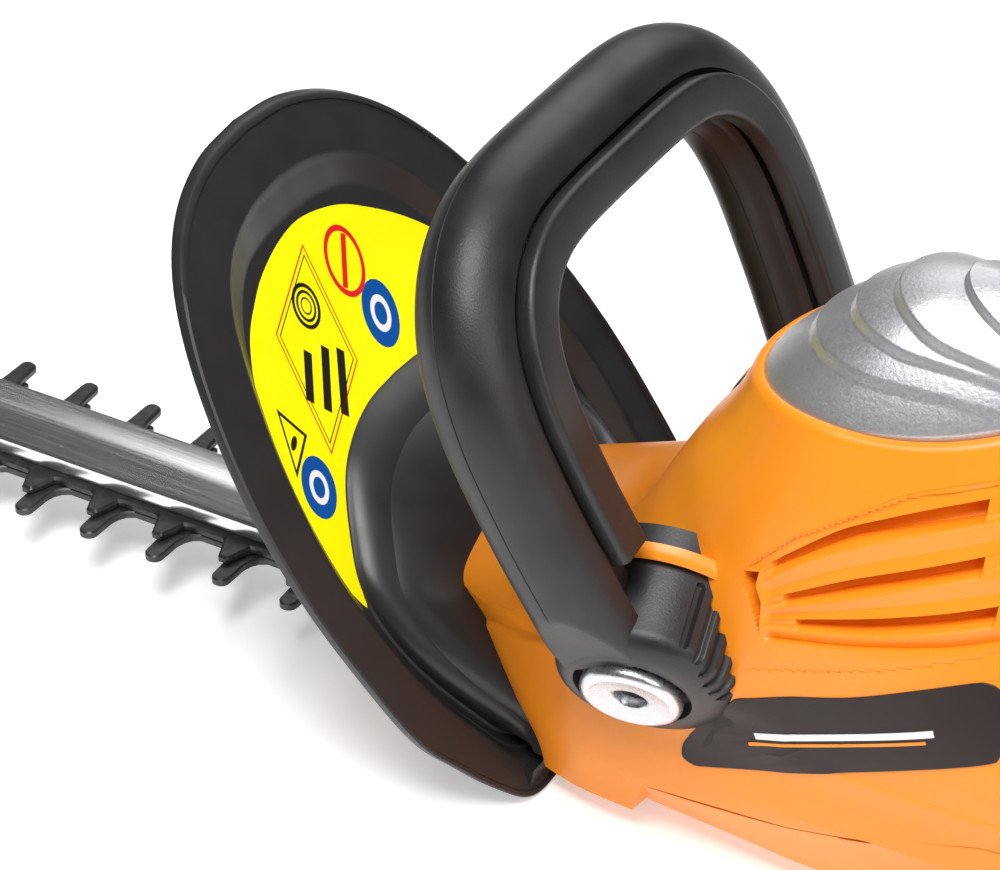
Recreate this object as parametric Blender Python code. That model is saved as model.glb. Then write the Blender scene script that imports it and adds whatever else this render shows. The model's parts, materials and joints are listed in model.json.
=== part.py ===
"""Electric hedge trimmer, built as separate named pieces.

Frame: +X points to the rear of the tool and the blade points to -X, and +Z is up. Left and right in the names
are as seen by someone who faces the blade end, so the left hand pieces are at +Y.
The tool stands on Z = 0. Pieces are laid out about the upright motor's axis at X = 0, Y = 0, and the last step
moves them all so that the middle of the guard's foot is the origin. Every size below is in millimetres.
"""
import math

import bmesh
import bpy
from mathutils import Matrix, Vector

MM = 0.001
GAP = 0.3          # space left between pieces that touch
WALL = 2.5         # moulded wall thickness
ORIGIN_SHIFT = 120.0   # the finished tool is moved back so that the guard's foot is the origin

# Blade and drive
TOOTH_PITCH = 28.0
TEETH_PER_SIDE = 18
FIRST_FINGER_X = -636.0
BLADE_THICKNESS = 2.7
LOWER_BLADE_Z = 18.8
UPPER_BLADE_Z = LOWER_BLADE_Z + BLADE_THICKNESS + GAP
BLADE_TIP_X = -668.0
BLADE_HALF_WIDTH = 19.0
BLADE_STEP_X = 8.2             # far fingers sit this far behind the near ones
CRANK_THROW = 6.0
REST_SHIFT = 1.15              # at rest the blades are this far from the middle of their stroke
GEAR_X = -48.0
GEAR_MODULE = 1.5
GEAR_TEETH = 52
PINION_TEETH = 12
GEAR_Z = (50.0, 58.0)
YOKE_HALF_X = 25.0
YOKE_HALF_Y = 19.0
YOKE_EDGE = 7.0
RAIL_X = (-652.0, -95.0)
BOLT_XS = (-620.0, -480.0, -340.0, -200.0)
BOLT_RADIUS = 2.5

# Body
BODY_FLOOR_Z = 15.0
DOME_AXIS_X = 12.0
DOME_RIM_Z = 176.0
DOME_TILT = math.radians(14.0)
FOOT_INNER = Vector((-62.0, -56.0, 86.0))      # right hand foot of the front handle
FOOT_OUTER = Vector((-57.0, -80.0, 74.0))
FOOT_RADIUS = 27.0
HANDLE_LEAN = math.radians(25.8)
HANDLE_NORMAL = Vector((math.cos(HANDLE_LEAN), 0.0, math.sin(HANDLE_LEAN)))
GUARD_FOOT_X = -102.0
GUARD_SLOPE = 0.81
GUARD_TOP_Z = 185.0
HOUSING_SCREWS = ((222.0, 160.0), (266.0, 106.0), (186.0, 17.0), (138.0, 22.0))
CORD_EXIT = (262.0, 0.0, 50.0)
CORD_DIRECTION = Vector((0.9, 0.0, -0.44)).normalized()


# ---------------------------------------------------------------- materials

def plain_material(name, colour, roughness, metallic=0.0):
    material = bpy.data.materials.new(name)
    material.use_nodes = True
    shader = material.node_tree.nodes["Principled BSDF"]
    shader.inputs["Base Color"].default_value = (*colour, 1.0)
    shader.inputs["Roughness"].default_value = roughness
    shader.inputs["Metallic"].default_value = metallic
    material.diffuse_color = (*colour, 1.0)
    return material


def make_materials():
    return {
        "orange_plastic": plain_material("orange_plastic", (0.90, 0.29, 0.02), 0.35),
        "black_plastic": plain_material("black_plastic", (0.028, 0.027, 0.028), 0.5),
        "silver_shell": plain_material("silver_shell", (0.55, 0.55, 0.57), 0.35, 0.6),
        "yellow_label": plain_material("yellow_label", (1.0, 0.88, 0.0), 0.4),
        "badge": plain_material("badge", (0.03, 0.022, 0.022), 0.35),
        "blade_steel": plain_material("blade_steel", (0.06, 0.058, 0.062), 0.4, 0.8),
        "rail_aluminium": plain_material("rail_aluminium", (0.78, 0.77, 0.77), 0.3, 1.0),
        "steel": plain_material("steel", (0.5, 0.5, 0.5), 0.35, 1.0),
        "cast_alloy": plain_material("cast_alloy", (0.6, 0.6, 0.6), 0.5, 1.0),
        "copper": plain_material("copper", (0.7, 0.35, 0.15), 0.35, 1.0),
        "rubber": plain_material("rubber", (0.02, 0.02, 0.02), 0.8),
    }


# ---------------------------------------------------------------- mesh helpers

def add_solid(name, points, faces, material, origin=(0.0, 0.0, 0.0)):
    """Make one object from points in millimetres, with its origin at the given place."""
    origin = Vector(origin)
    mesh = bpy.data.meshes.new(name)
    mesh.from_pydata([(Vector(p) - origin) * MM for p in points], [], faces)
    work = bmesh.new()
    work.from_mesh(mesh)
    bmesh.ops.remove_doubles(work, verts=work.verts, dist=1e-7)
    bmesh.ops.recalc_face_normals(work, faces=work.faces)
    work.to_mesh(mesh)
    work.free()
    mesh.materials.append(material)
    solid = bpy.data.objects.new(name, mesh)
    solid.location = origin * MM
    bpy.context.scene.collection.objects.link(solid)
    return solid


def loft(name, loops, material, ring=False, origin=(0.0, 0.0, 0.0)):
    """Skin a list of equal loops of points. A ring joins the last loop to the first."""
    count = len(loops[0])
    points = [p for loop in loops for p in loop]
    faces = []
    spans = len(loops) if ring else len(loops) - 1
    for i in range(spans):
        here = i * count
        there = ((i + 1) % len(loops)) * count
        for j in range(count):
            k = (j + 1) % count
            faces.append((here + j, here + k, there + k, there + j))
    if not ring:
        faces.append(tuple(range(count)))
        faces.append(tuple(range(len(points) - count, len(points))))
    return add_solid(name, points, faces, material, origin)


def prism(name, outline, low, high, material, axis="Z", origin=(0.0, 0.0, 0.0)):
    """Push an outline along an axis: X takes (y, z), Y takes (x, z) and Z takes (x, y) points."""
    place = {
        "X": lambda p, h: (h, p[0], p[1]),
        "Y": lambda p, h: (p[0], h, p[1]),
        "Z": lambda p, h: (p[0], p[1], h),
    }[axis]
    loops = [[place(p, low) for p in outline], [place(p, high) for p in outline]]
    return loft(name, loops, material, origin=origin)


def box(name, low, high, material, origin=(0.0, 0.0, 0.0)):
    outline = [(low[0], low[1]), (high[0], low[1]), (high[0], high[1]), (low[0], high[1])]
    return prism(name, outline, low[2], high[2], material, origin=origin)


def circle(centre, radius, steps, phase=0.0):
    turns = [phase + 2.0 * math.pi * i / steps for i in range(steps)]
    return [(centre[0] + radius * math.cos(a), centre[1] + radius * math.sin(a)) for a in turns]


def washer(name, outer, inner, low, high, material, origin=(0.0, 0.0, 0.0)):
    """A plate between two equal outlines, with a hole through it along Z."""
    loops = []
    for outline, height in ((outer, low), (outer, high), (inner, high), (inner, low)):
        loops.append([(p[0], p[1], height) for p in outline])
    return loft(name, loops, material, ring=True, origin=origin)


def turned(name, profile, base, direction, steps, material, origin=(0.0, 0.0, 0.0), hollow=False):
    """Turn a profile of (radius, height) about an axis. A hollow profile closes on itself."""
    base = Vector(base)
    along = Vector(direction).normalized()
    side = along.orthogonal().normalized()
    other = along.cross(side)
    loops = []
    for radius, height in profile:
        loop = []
        for i in range(steps):
            angle = 2.0 * math.pi * i / steps
            arm = side * math.cos(angle) + other * math.sin(angle)
            loop.append(base + along * height + arm * radius)
        loops.append(loop)
    return loft(name, loops, material, ring=hollow, origin=origin)


def cut(solid, cutter, operation="DIFFERENCE"):
    """Apply an exact Boolean and throw the cutter away."""
    modifier = solid.modifiers.new("cut", "BOOLEAN")
    modifier.operation = operation
    modifier.solver = "EXACT"
    modifier.object = cutter
    bpy.context.view_layer.update()
    result = bpy.data.meshes.new_from_object(solid.evaluated_get(bpy.context.evaluated_depsgraph_get()))
    solid.modifiers.clear()
    solid.data = result
    bpy.data.objects.remove(cutter)
    return solid


def smooth_row(knots, x):
    """Read a row of values off a table of knots, eased between them."""
    if x <= knots[0][0]:
        return knots[0][1:]
    for low, high in zip(knots, knots[1:]):
        if x <= high[0]:
            t = (x - low[0]) / (high[0] - low[0])
            t = t * t * (3.0 - 2.0 * t)
            return tuple(a + (b - a) * t for a, b in zip(low[1:], high[1:]))
    return knots[-1][1:]


# ---------------------------------------------------------------- housing

# x, side half width, shoulder height, middle half width, middle height, top half width, top height
BODY_ROWS = (
    (-104.0, 61.0, 52.0, 54.0, 66.0, 34.0, 82.0),
    (-86.0, 64.0, 56.0, 57.0, 74.0, 36.0, 92.0),
    (-66.0, 67.0, 62.0, 57.0, 90.0, 36.0, 124.0),
    (-50.0, 69.0, 72.0, 58.0, 112.0, 34.0, 164.0),
    (-30.0, 70.0, 80.0, 60.0, 124.0, 44.0, 170.0),
    (0.0, 70.0, 88.0, 60.0, 134.0, 47.0, 177.0),
    (35.0, 69.0, 102.0, 60.0, 146.0, 45.0, 184.0),
    (70.0, 64.0, 110.0, 54.0, 156.0, 38.0, 190.0),
    (100.0, 48.0, 116.0, 40.0, 160.0, 26.0, 190.0),
    (126.0, 20.0, 118.0, 18.0, 160.0, 13.0, 184.0),
)
BODY_STATIONS = (-104, -95, -86, -76, -66, -58, -50, -40, -30, -15, 0, 17, 35, 52, 70, 85, 100, 113, 126)
FRONT_LEAN = 0.42
BOTTOM_RISE = 0.12
REAR_LOOP = ((56, 146), (88, 160), (125, 169), (165, 172), (205, 168), (240, 152), (262, 124),
             (270, 88), (262, 50), (240, 26), (205, 18), (165, 18), (125, 24), (90, 36), (60, 52))
REAR_HALF_WIDTH = 17.0
REAR_HALF_DEPTH = 18.0


def body_loop(station, inset):
    """One cross section of the body, leaning forward near the front."""
    lag = 1.6 * inset if station < 0.0 else 0.0
    side, shoulder, mid, mid_z, top, top_z = smooth_row(BODY_ROWS, station - lag)
    lean = FRONT_LEAN * max(0.0, min(1.0, (-40.0 - station) / 60.0))
    bottom = BODY_FLOOR_Z - 1.0
    if station > 60.0:
        bottom += inset
    half = [
        (0.0, bottom),
        (side - 9.0 - inset, bottom),
        (side - 2.0 - inset, bottom + 4.0),
        (side - inset, bottom + 14.0),
        (side - inset, shoulder),
        (0.5 * (side + mid) + 2.0 - inset, 0.5 * (shoulder + mid_z)),
        (mid - inset, mid_z),
        (0.5 * (mid + top) + 1.0 - inset, 0.5 * (mid_z + top_z) + 4.0),
        (top - inset, top_z - 3.0 - 0.7 * inset),
        (top * 0.55, top_z - inset),
        (0.0, top_z - inset + 1.0),
    ]
    full = [(-y, z) for y, z in half] + [(y, z) for y, z in reversed(half[1:-1])]
    return [(station - lean * (z - 16.0), y, z) for y, z in full]


def rear_loop_tube(name, inset, material):
    """The D shaped rear handle as a tube along its centre line."""
    centre = [Vector((x, 0.0, z)) for x, z in REAR_LOOP]
    loops = []
    for i, spot in enumerate(centre):
        before = centre[max(i - 1, 0)]
        after = centre[min(i + 1, len(centre) - 1)]
        along = (after - before).normalized()
        out = Vector((0.0, 1.0, 0.0)).cross(along)
        loop = []
        for j in range(12):
            angle = 2.0 * math.pi * (j + 0.5) / 12.0
            across = (REAR_HALF_WIDTH - inset) / math.cos(math.pi / 12.0) * math.cos(angle)
            depth = (REAR_HALF_DEPTH - inset) / math.cos(math.pi / 12.0) * math.sin(angle)
            loop.append(spot + Vector((0.0, across, 0.0)) + out * depth)
        loops.append(loop)
    return loft(name, loops, material)


def dome_cutter(name, material):
    """The oval hole in the top of the body that the silver cap fills."""
    loops = []
    for height in (-6.0, 60.0):
        loops.append(dome_ring(0.0, 63.2, 43.2, height))
    return loft(name, loops, material)


def dome_ring(shift, half_length, half_width, height):
    """An oval in the tilted plane of the cap's rim, raised by a height."""
    loop = []
    for i in range(32):
        angle = 2.0 * math.pi * i / 32.0
        along = shift + half_length * math.cos(angle)
        x = DOME_AXIS_X + along * math.cos(DOME_TILT) - height * math.sin(DOME_TILT)
        z = DOME_RIM_Z + along * math.sin(DOME_TILT) + height * math.cos(DOME_TILT)
        loop.append((x, half_width * math.sin(angle), z))
    return loop


def base_edge_z(x):
    return BODY_FLOOR_Z + 3.4 + BOTTOM_RISE * max(0.0, x + 65.0)


def below_edge_block(name, material, lift):
    """Everything under the sloping line where the base cover meets the two halves."""
    outline = [(-260.0, -60.0), (60.0, -60.0), (60.0, base_edge_z(60.0) + lift)]
    outline += [(-65.0, base_edge_z(-65.0) + lift), (-260.0, base_edge_z(-260.0) + lift)]
    return prism(name, outline, -120.0, 120.0, material, axis="Y")


def make_housing(materials):
    orange = materials["orange_plastic"]
    shell = loft("housing_right", [body_loop(x, 0.0) for x in BODY_STATIONS], orange)
    cut(shell, rear_loop_tube("tube", 0.0, orange), "UNION")
    hollow = loft("hollow", [body_loop(x, WALL) for x in (-107, *BODY_STATIONS[1:-1], 123)], orange)
    tunnel = rear_loop_tube("tunnel", WALL, orange)
    cut(hollow, tunnel, "UNION")
    cut(shell, hollow)
    cut(shell, dome_cutter("dome_hole", orange))
    cut(shell, below_edge_block("below", orange, GAP))
    for side in (1, -1):
        inner = mirrored(FOOT_INNER, side)
        outer = mirrored(FOOT_OUTER, side)
        profile = [(FOOT_RADIUS + GAP, -4.0), (FOOT_RADIUS + GAP, 60.0)]
        cut(shell, turned("foot_hole", profile, inner, outer - inner, 24, orange))
    cut(shell, box("trigger_slot", (130.0, -6.5, 145.0), (178.0, 6.5, 160.0), orange))
    cut(shell, turned("cord_hole", [(7.3, 0.0), (7.3, 40.0)], CORD_EXIT, CORD_DIRECTION, 12, orange))
    keep_right = box("keep_right", (-300.0, -200.0, -50.0), (400.0, -0.5 * GAP, 300.0), orange)
    cut(shell, keep_right, "INTERSECT")
    shell.name = "housing_right"
    left = mirrored_copy(shell, "housing_left")
    for x, z in HOUSING_SCREWS:
        cut(left, turned("screw_hole", [(2.1, -2.0), (2.1, 40.0)], (x, 0.0, z), (0, 1, 0), 10, orange))
        cut(shell, turned("head_hole", [(3.9, -2.0), (3.9, 40.0)], (x, 0.0, z), (0, -1, 0), 10, orange))


def mirrored_copy(solid, name):
    """The other hand of a solid, reflected in the parting plane."""
    twin = bpy.data.objects.new(name, solid.data.copy())
    bpy.context.scene.collection.objects.link(twin)
    work = bmesh.new()
    work.from_mesh(twin.data)
    for vertex in work.verts:
        vertex.co.y = -vertex.co.y
    bmesh.ops.reverse_faces(work, faces=work.faces)
    work.to_mesh(twin.data)
    work.free()
    return twin


def mirrored(point, side):
    """The right hand point for side 1, and its mirror image for side -1."""
    return Vector((point.x, point.y * side, point.z))


def make_base_cover(materials):
    """The tray that closes the underside of the body."""
    orange = materials["orange_plastic"]
    cover = loft("base_cover", [body_loop(x, 0.6) for x in (-104, -86, -66, -50, -30, 0, 35, 58)], orange)
    cut(cover, below_edge_block("keep", orange, 0.0), "INTERSECT")
    inner = loft("inner", [body_loop(x, WALL + 0.6) for x in (-102, -86, -66, -50, -30, 0, 35, 55)], orange)
    inner.location.z = (WALL + 1.0) * MM
    inner.location.x = -9.0 * MM
    cut(cover, inner)
    lip = box("lip", (-200.0, -90.0, 17.5), (-64.0, 90.0, 60.0), orange)
    cut(cover, lip)


def make_dome(materials):
    """The silver cap over the motor, a stepped oval shell."""
    outer = [(0.0, 61.5, 41.0, -3.0), (0.0, 62.5, 42.5, 3.2), (1.0, 60.0, 40.0, 12.0),
             (6.0, 50.0, 34.0, 21.0), (10.0, 36.0, 26.0, 29.0), (13.0, 16.0, 12.0, 33.5)]
    inner = [(13.0, 14.0, 10.0, 31.0), (10.0, 33.5, 23.5, 26.5), (6.0, 47.5, 31.5, 18.5),
             (1.0, 57.5, 37.5, 9.5), (0.0, 59.0, 38.5, 0.0), (0.0, 59.0, 38.5, -3.0)]
    loops = [dome_ring(*row) for row in outer]
    bottom_rows = [dome_ring(*row) for row in inner]
    count = 32
    points = [p for loop in loops + bottom_rows for p in loop]
    faces = [tuple(range((len(loops) - 1) * count, len(loops) * count))]
    faces.append(tuple(range(len(loops) * count, (len(loops) + 1) * count)))
    order = list(range(len(loops) + len(bottom_rows)))
    pairs = [(a, a + 1) for a in order[:-1] if a != len(loops) - 1]
    pairs.append((order[-1], 0))
    for a, b in pairs:
        for j in range(count):
            k = (j + 1) % count
            faces.append((a * count + j, a * count + k, b * count + k, b * count + j))
    return add_solid("dome_cover", points, faces, materials["silver_shell"])


# x, low edge, high edge
BADGE_ROWS = ((-42, 49, 52), (-30, 54, 68), (-18, 58, 80), (10, 68, 88), (35, 77, 98), (62, 87, 108))


def make_badges(materials):
    """Plain dark plates set just outside the body's two sides."""
    for side, name in ((-1.0, "badge_right"), (1.0, "badge_left")):
        loops = []
        for x, low, high in BADGE_ROWS:
            face = smooth_row(BODY_ROWS, x)[0] + 3.0 * GAP
            edges = ((face, low), (face + 1.2, low), (face + 1.2, high), (face, high))
            loops.append([(x, side * y, z) for y, z in edges])
        loft(name, loops, materials["badge"])


# ---------------------------------------------------------------- guard

GUARD_HALF = ((0, 0), (45, 0), (64, 0), (74, 9), (85, 21), (94, 34), (98, 55), (99, 78), (96, 102),
              (89, 125), (78, 147), (64, 164), (46, 176), (24, 183), (0, 185))


def guard_loop(width, low, high, depth, shoe=0.0):
    """The guard's outline scaled in width and between two heights, on the leaning plane."""
    full = list(GUARD_HALF) + [(-y, z) for y, z in reversed(GUARD_HALF[1:-1])]
    loop = []
    for y, z in full:
        z = low + (high - low) * z / GUARD_TOP_Z
        x = GUARD_FOOT_X - GUARD_SLOPE * z + depth
        if z < low + 0.5:
            x -= shoe
        loop.append((x, y * width, z))
    return loop


def sleeve_loop(width, low, high, back):
    """The guard's neck where it meets the body's front edge."""
    loop = guard_loop(width, low, high, 0.0)
    return [(-104.0 - FRONT_LEAN * (z - 16.0) - back, y, z) for _, y, z in loop]


def make_guard(materials):
    loops = [
        guard_loop(1.0, 0.0, 185.0, 0.0),
        guard_loop(0.80, 5.0, 166.0, 0.0),
        guard_loop(0.76, 7.0, 160.0, -8.0),
        guard_loop(0.64, 8.0, 103.0, -8.0),
        sleeve_loop(0.605, 9.0, 83.0, 1.0),
        sleeve_loop(0.575, 11.5, 80.0, 1.0),
        guard_loop(0.61, 10.5, 100.0, -11.0),
        guard_loop(0.735, 9.5, 157.0, -11.0),
        guard_loop(0.775, 7.5, 163.0, -3.0),
        guard_loop(1.0, 0.0, 185.0, -3.0, shoe=33.0),
    ]
    return loft("guard", loops, materials["black_plastic"], ring=True)


def make_guard_label(materials):
    """A horseshoe label that lies in the guard's recess on the user's side."""
    half_arc = [math.radians(a) for a in range(-20, 201, 20)]
    loops = []
    for angle in half_arc:
        swell = max(0.0, math.sin(0.5 * (angle + math.radians(20.0)) * 180.0 / 110.0))
        loop = []
        for reach, lift in ((1.0, 0.4), (1.0, 1.2), (0.0, 1.2), (0.0, 0.4)):
            width = 69.0 - 8.0 * (1.0 - reach) * swell
            rise = (1.0 - reach) * 28.0 * swell
            y = width * math.cos(angle)
            z = 84.0 + 62.0 * math.sin(angle) - rise * max(0.0, math.sin(angle)) - (1.0 - reach) * 1.0
            x = GUARD_FOOT_X - GUARD_SLOPE * z - 8.0 + lift
            loop.append((x, y * (1.0 - 0.03 * (1.0 - reach)), z))
        loops.append(loop)
    return loft("guard_label", loops, materials["yellow_label"])


# ---------------------------------------------------------------- front handle

HANDLE_PATH = ((-66.5, -80.0, 93.0), (-77.8, -84.9, 116.3), (-89.6, -87.8, 140.6), (-102.2, -88.7, 166.8),
               (-112.2, -84.1, 187.4), (-119.4, -73.0, 202.4), (-123.7, -57.5, 211.3), (-125.6, -37.3, 215.2))
HANDLE_TOP = (-125.9, 0.0, 215.9)
HANDLE_HALF = 17.5
HANDLE_FLAT = 12.0


def handle_centres():
    right = [Vector(p) for p in HANDLE_PATH]
    return right + [Vector(HANDLE_TOP)] + [mirrored(p, -1) for p in reversed(right)]


def handle_sweep(name, section, material, start=0, origin=(0.0, 0.0, 0.0)):
    """Sweep a section of (inward, rearward) points along the handle's centre line."""
    centres = handle_centres()
    loops = []
    for i in range(start, len(centres) - start):
        along = (centres[min(i + 1, len(centres) - 1)] - centres[max(i - 1, 0)])
        along = (along - HANDLE_NORMAL * along.dot(HANDLE_NORMAL)).normalized()
        inward = along.cross(HANDLE_NORMAL).normalized()
        loops.append([centres[i] + inward * a + HANDLE_NORMAL * b for a, b in section])
    return loft(name, loops, material, origin=origin)


def arc_points(radius_a, radius_b, start, stop, steps):
    angles = [math.radians(start + (stop - start) * i / steps) for i in range(steps + 1)]
    return [(radius_a * math.cos(a), radius_b * math.sin(a)) for a in angles]


def make_front_handle(materials):
    black = materials["black_plastic"]
    half_gap = 0.5 * GAP
    outer = [(a, b - half_gap) for a, b in arc_points(HANDLE_HALF, HANDLE_HALF, 0, -180, 8)]
    inner = [(a, b - half_gap) for a, b in arc_points(15.0, 15.0, -180, 0, 6)]
    front = handle_sweep("handle_front_shell", outer + inner, black)
    outer = [(HANDLE_HALF, half_gap), (HANDLE_HALF, 5.0), (14.0, HANDLE_FLAT), (-14.0, HANDLE_FLAT),
             (-HANDLE_HALF, 5.0), (-HANDLE_HALF, half_gap)]
    inner = [(-15.0, half_gap), (-15.0, 4.0), (-12.5, 9.5), (12.5, 9.5), (15.0, 4.0), (15.0, half_gap)]
    rear = handle_sweep("handle_rear_shell", outer + inner, black)
    for side, name in ((1, "right"), (-1, "left")):
        base = mirrored(FOOT_INNER, side)
        tip = mirrored(FOOT_OUTER, side)
        along = tip - base
        length = along.length
        for shell in (front, rear):
            profile = [(FOOT_RADIUS + GAP, -40.0), (FOOT_RADIUS + GAP, 60.0)]
            cut(shell, turned("clear", profile, base, along, 32, black))
        barrel = [(10.0, 4.0), (FOOT_RADIUS, 4.0), (FOOT_RADIUS, length - 3.0), (FOOT_RADIUS - 3.0, length),
                  (17.0, length), (17.0, length - 6.0), (10.0, length - 6.0)]
        turned("handle_foot_" + name, barrel, base, along, 24, black, hollow=True)
        disc = [(6.2, length - 5.5), (16.4, length - 5.5), (16.4, length + 2.0), (14.5, length + 3.2), (6.2, length + 3.2)]
        turned("handle_cap_" + name, disc, base, along, 24, materials["silver_shell"], hollow=True)
        bolt = [(0.8, -3.0), (9.0, -3.0), (9.0, 2.0), (5.0, 2.0), (5.0, length - 1.0), (0.8, length - 1.0)]
        turned("handle_bolt_" + name, bolt, base, along, 12, materials["steel"], hollow=True)


SWITCH_PIVOT = (-62.0, 0.0, 106.0)


def make_switch_bar(materials):
    """The long two-hand switch bar behind the handle. It rocks about its two lower ends."""
    section = [(2.0, 15.4), (14.0, 15.4), (14.0, 19.5), (12.5, 21.0), (3.5, 21.0), (2.0, 19.5)]
    return handle_sweep("switch_bar", section, materials["black_plastic"], start=1, origin=SWITCH_PIVOT)


# ---------------------------------------------------------------- blades and rail

def tooth_row(side, first, fingers):
    """Outline points of one side's teeth, from front to rear."""
    row = []
    for i in range(TEETH_PER_SIDE):
        x = first + TOOTH_PITCH * i
        if fingers:
            shape = [(-6.0, 19.0), (-3.4, 24.0), (-3.4, 37.5), (-1.8, 40.0), (1.8, 40.0), (3.4, 37.5),
                     (3.4, 24.0), (6.0, 19.0)]
        else:
            shape = [(-6.5, 19.0), (-2.2, 29.0), (2.2, 29.0), (6.5, 19.0)]
        row += [(x + dx, side * reach) for dx, reach in shape]
    return row


def make_blade(name, low_z, near_fingers, shift, material):
    """A toothed blade with slots for the bolts and a window for its cam."""
    near = tooth_row(-1, FIRST_FINGER_X + (0.0 if near_fingers else -3.0), near_fingers)
    far = tooth_row(1, FIRST_FINGER_X + BLADE_STEP_X + (0.0 if not near_fingers else 2.6), not near_fingers)
    yoke_x = GEAR_X + shift
    rear_x = yoke_x + YOKE_HALF_X + YOKE_EDGE
    yoke_y = YOKE_HALF_Y + YOKE_EDGE
    front_x = yoke_x - YOKE_HALF_X - YOKE_EDGE
    outline = [(BLADE_TIP_X, -5.0), (BLADE_TIP_X + 12.0, -BLADE_HALF_WIDTH)]
    outline += near
    outline += [(front_x - 30.0, -BLADE_HALF_WIDTH), (front_x, -yoke_y), (rear_x, -yoke_y),
                (rear_x, yoke_y), (front_x, yoke_y), (front_x - 30.0, BLADE_HALF_WIDTH)]
    outline += list(reversed(far))
    outline += [(BLADE_TIP_X + 12.0, BLADE_HALF_WIDTH), (BLADE_TIP_X, 5.0)]
    blade = prism(name, outline, low_z, low_z + BLADE_THICKNESS, material)
    for x in BOLT_XS:
        low = (x - BOLT_RADIUS - 8.0, -3.2, low_z - 5.0)
        high = (x + BOLT_RADIUS + 8.0, 3.2, low_z + 10.0)
        cut(blade, box("slot", low, high, material))
    low = (yoke_x - YOKE_HALF_X, -YOKE_HALF_Y, low_z - 5.0)
    high = (yoke_x + YOKE_HALF_X, YOKE_HALF_Y, low_z + 10.0)
    cut(blade, box("window", low, high, material))
    return blade


def make_blades(materials):
    steel = materials["blade_steel"]
    make_blade("upper_blade", UPPER_BLADE_Z, False, -REST_SHIFT, steel)
    make_blade("lower_blade", LOWER_BLADE_Z, True, REST_SHIFT, steel)
    rail_low = UPPER_BLADE_Z + BLADE_THICKNESS + GAP
    outer = [(-16.0, rail_low), (-16.0, 30.8), (-3.0, 34.0), (3.0, 34.0), (16.0, 30.8), (16.0, rail_low)]
    inner = [(14.0, rail_low), (14.0, 29.2), (2.6, 32.0), (-2.6, 32.0), (-14.0, 29.2), (-14.0, rail_low)]
    prism("blade_rail", outer + inner, RAIL_X[0], RAIL_X[1], materials["rail_aluminium"], axis="X")
    for i, x in enumerate(BOLT_XS):
        profile = [(0.01, 15.2), (5.0, 15.2), (5.0, 18.4), (BOLT_RADIUS, 18.4), (BOLT_RADIUS, 31.0), (0.01, 31.0)]
        turned("blade_bolt_%d" % (i + 1), solid_profile(profile), (x, 0.0, 0.0), (0, 0, 1), 12,
               materials["steel"])
        ring = circle((x, 0.0), 5.2, 12, math.pi / 12.0)
        hole = circle((x, 0.0), BOLT_RADIUS + GAP, 12, math.pi / 12.0)
        washer("blade_nut_%d" % (i + 1), ring, hole, rail_low, 28.6, materials["steel"])


def solid_profile(profile):
    """Drop the axis points, because the end caps close a solid profile."""
    return profile[1:-1]


# ---------------------------------------------------------------- drive

def gear_outline(centre, teeth, phase):
    """A spur gear's outline with plain straight-sided teeth."""
    pitch_radius = 0.5 * GEAR_MODULE * teeth
    root = pitch_radius - 1.25 * GEAR_MODULE
    tip = pitch_radius + 0.85 * GEAR_MODULE
    step = 2.0 * math.pi / teeth
    outline = []
    for i in range(teeth):
        middle = phase + i * step
        for radius, share in ((root, -0.30), (tip, -0.13), (tip, 0.13), (root, 0.30)):
            angle = middle + share * step
            outline.append((centre[0] + radius * math.cos(angle), centre[1] + radius * math.sin(angle)))
    return outline


def gear_wheel(name, centre, teeth, phase, bore, material, origin):
    outer = gear_outline(centre, teeth, phase)
    inner = circle(centre, bore, len(outer), phase)
    return washer(name, outer, inner, GEAR_Z[0], GEAR_Z[1], material, origin)


def joined_circles(front_radius, rear_radius, steps):
    """An egg outline round the gear and the pinion."""
    spread = -GEAR_X
    lean = math.asin((front_radius - rear_radius) / spread)
    points = []
    for i in range(steps):
        angle = math.pi / 2.0 - lean + (math.pi + 2.0 * lean) * i / (steps - 1)
        points.append((GEAR_X + front_radius * math.cos(angle), front_radius * math.sin(angle)))
    for i in range(steps):
        angle = -math.pi / 2.0 + lean + (math.pi - 2.0 * lean) * i / (steps - 1)
        points.append((rear_radius * math.cos(angle), rear_radius * math.sin(angle)))
    return points


def make_drive(materials):
    steel = materials["steel"]
    alloy = materials["cast_alloy"]
    gear_axis = (GEAR_X, 0.0)
    pivot = (GEAR_X, 0.0, GEAR_Z[0])
    shaft = 4.0
    gear_wheel("drive_gear", gear_axis, GEAR_TEETH, math.pi / GEAR_TEETH, shaft + GAP, steel, pivot)
    gear_wheel("pinion_gear", (0.0, 0.0), PINION_TEETH, math.pi, shaft + GAP, steel, (0.0, 0.0, GEAR_Z[0]))
    turned("gear_axle", [(shaft, 18.9), (shaft, 61.0)], (GEAR_X, 0.0, 0.0), (0, 0, 1), 16, steel, origin=pivot)
    cams = (("cam_upper", UPPER_BLADE_Z, -1.0), ("cam_lower", LOWER_BLADE_Z, 1.0))
    for name, low, side in cams:
        disc = circle((GEAR_X, side * CRANK_THROW), 12.0, 24)
        hole = circle(gear_axis, shaft + GAP, 24)
        washer(name, disc, hole, low + 0.1, low + BLADE_THICKNESS - 0.1, steel, pivot)
    # The casting: a floor with a hole for the axle, and a wall round the gear and the pinion.
    outer = joined_circles(44.5, 18.0, 12)
    inner = joined_circles(41.5, 14.5, 12)
    hole = circle(gear_axis, 6.0, 24, math.pi / 2.0)
    loops = []
    for outline, height in ((outer, 27.0), (outer, 62.0), (inner, 62.0), (inner, 31.0), (hole, 31.0), (hole, 27.0)):
        loops.append([(p[0], p[1], height) for p in outline])
    loft("gearcase", loops, alloy, ring=True)
    seat = circle((0.0, 0.0), 11.3, 24, math.pi / 2.0)
    washer("gear_cover", outer, seat, 62.3, 68.3, alloy)


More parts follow.
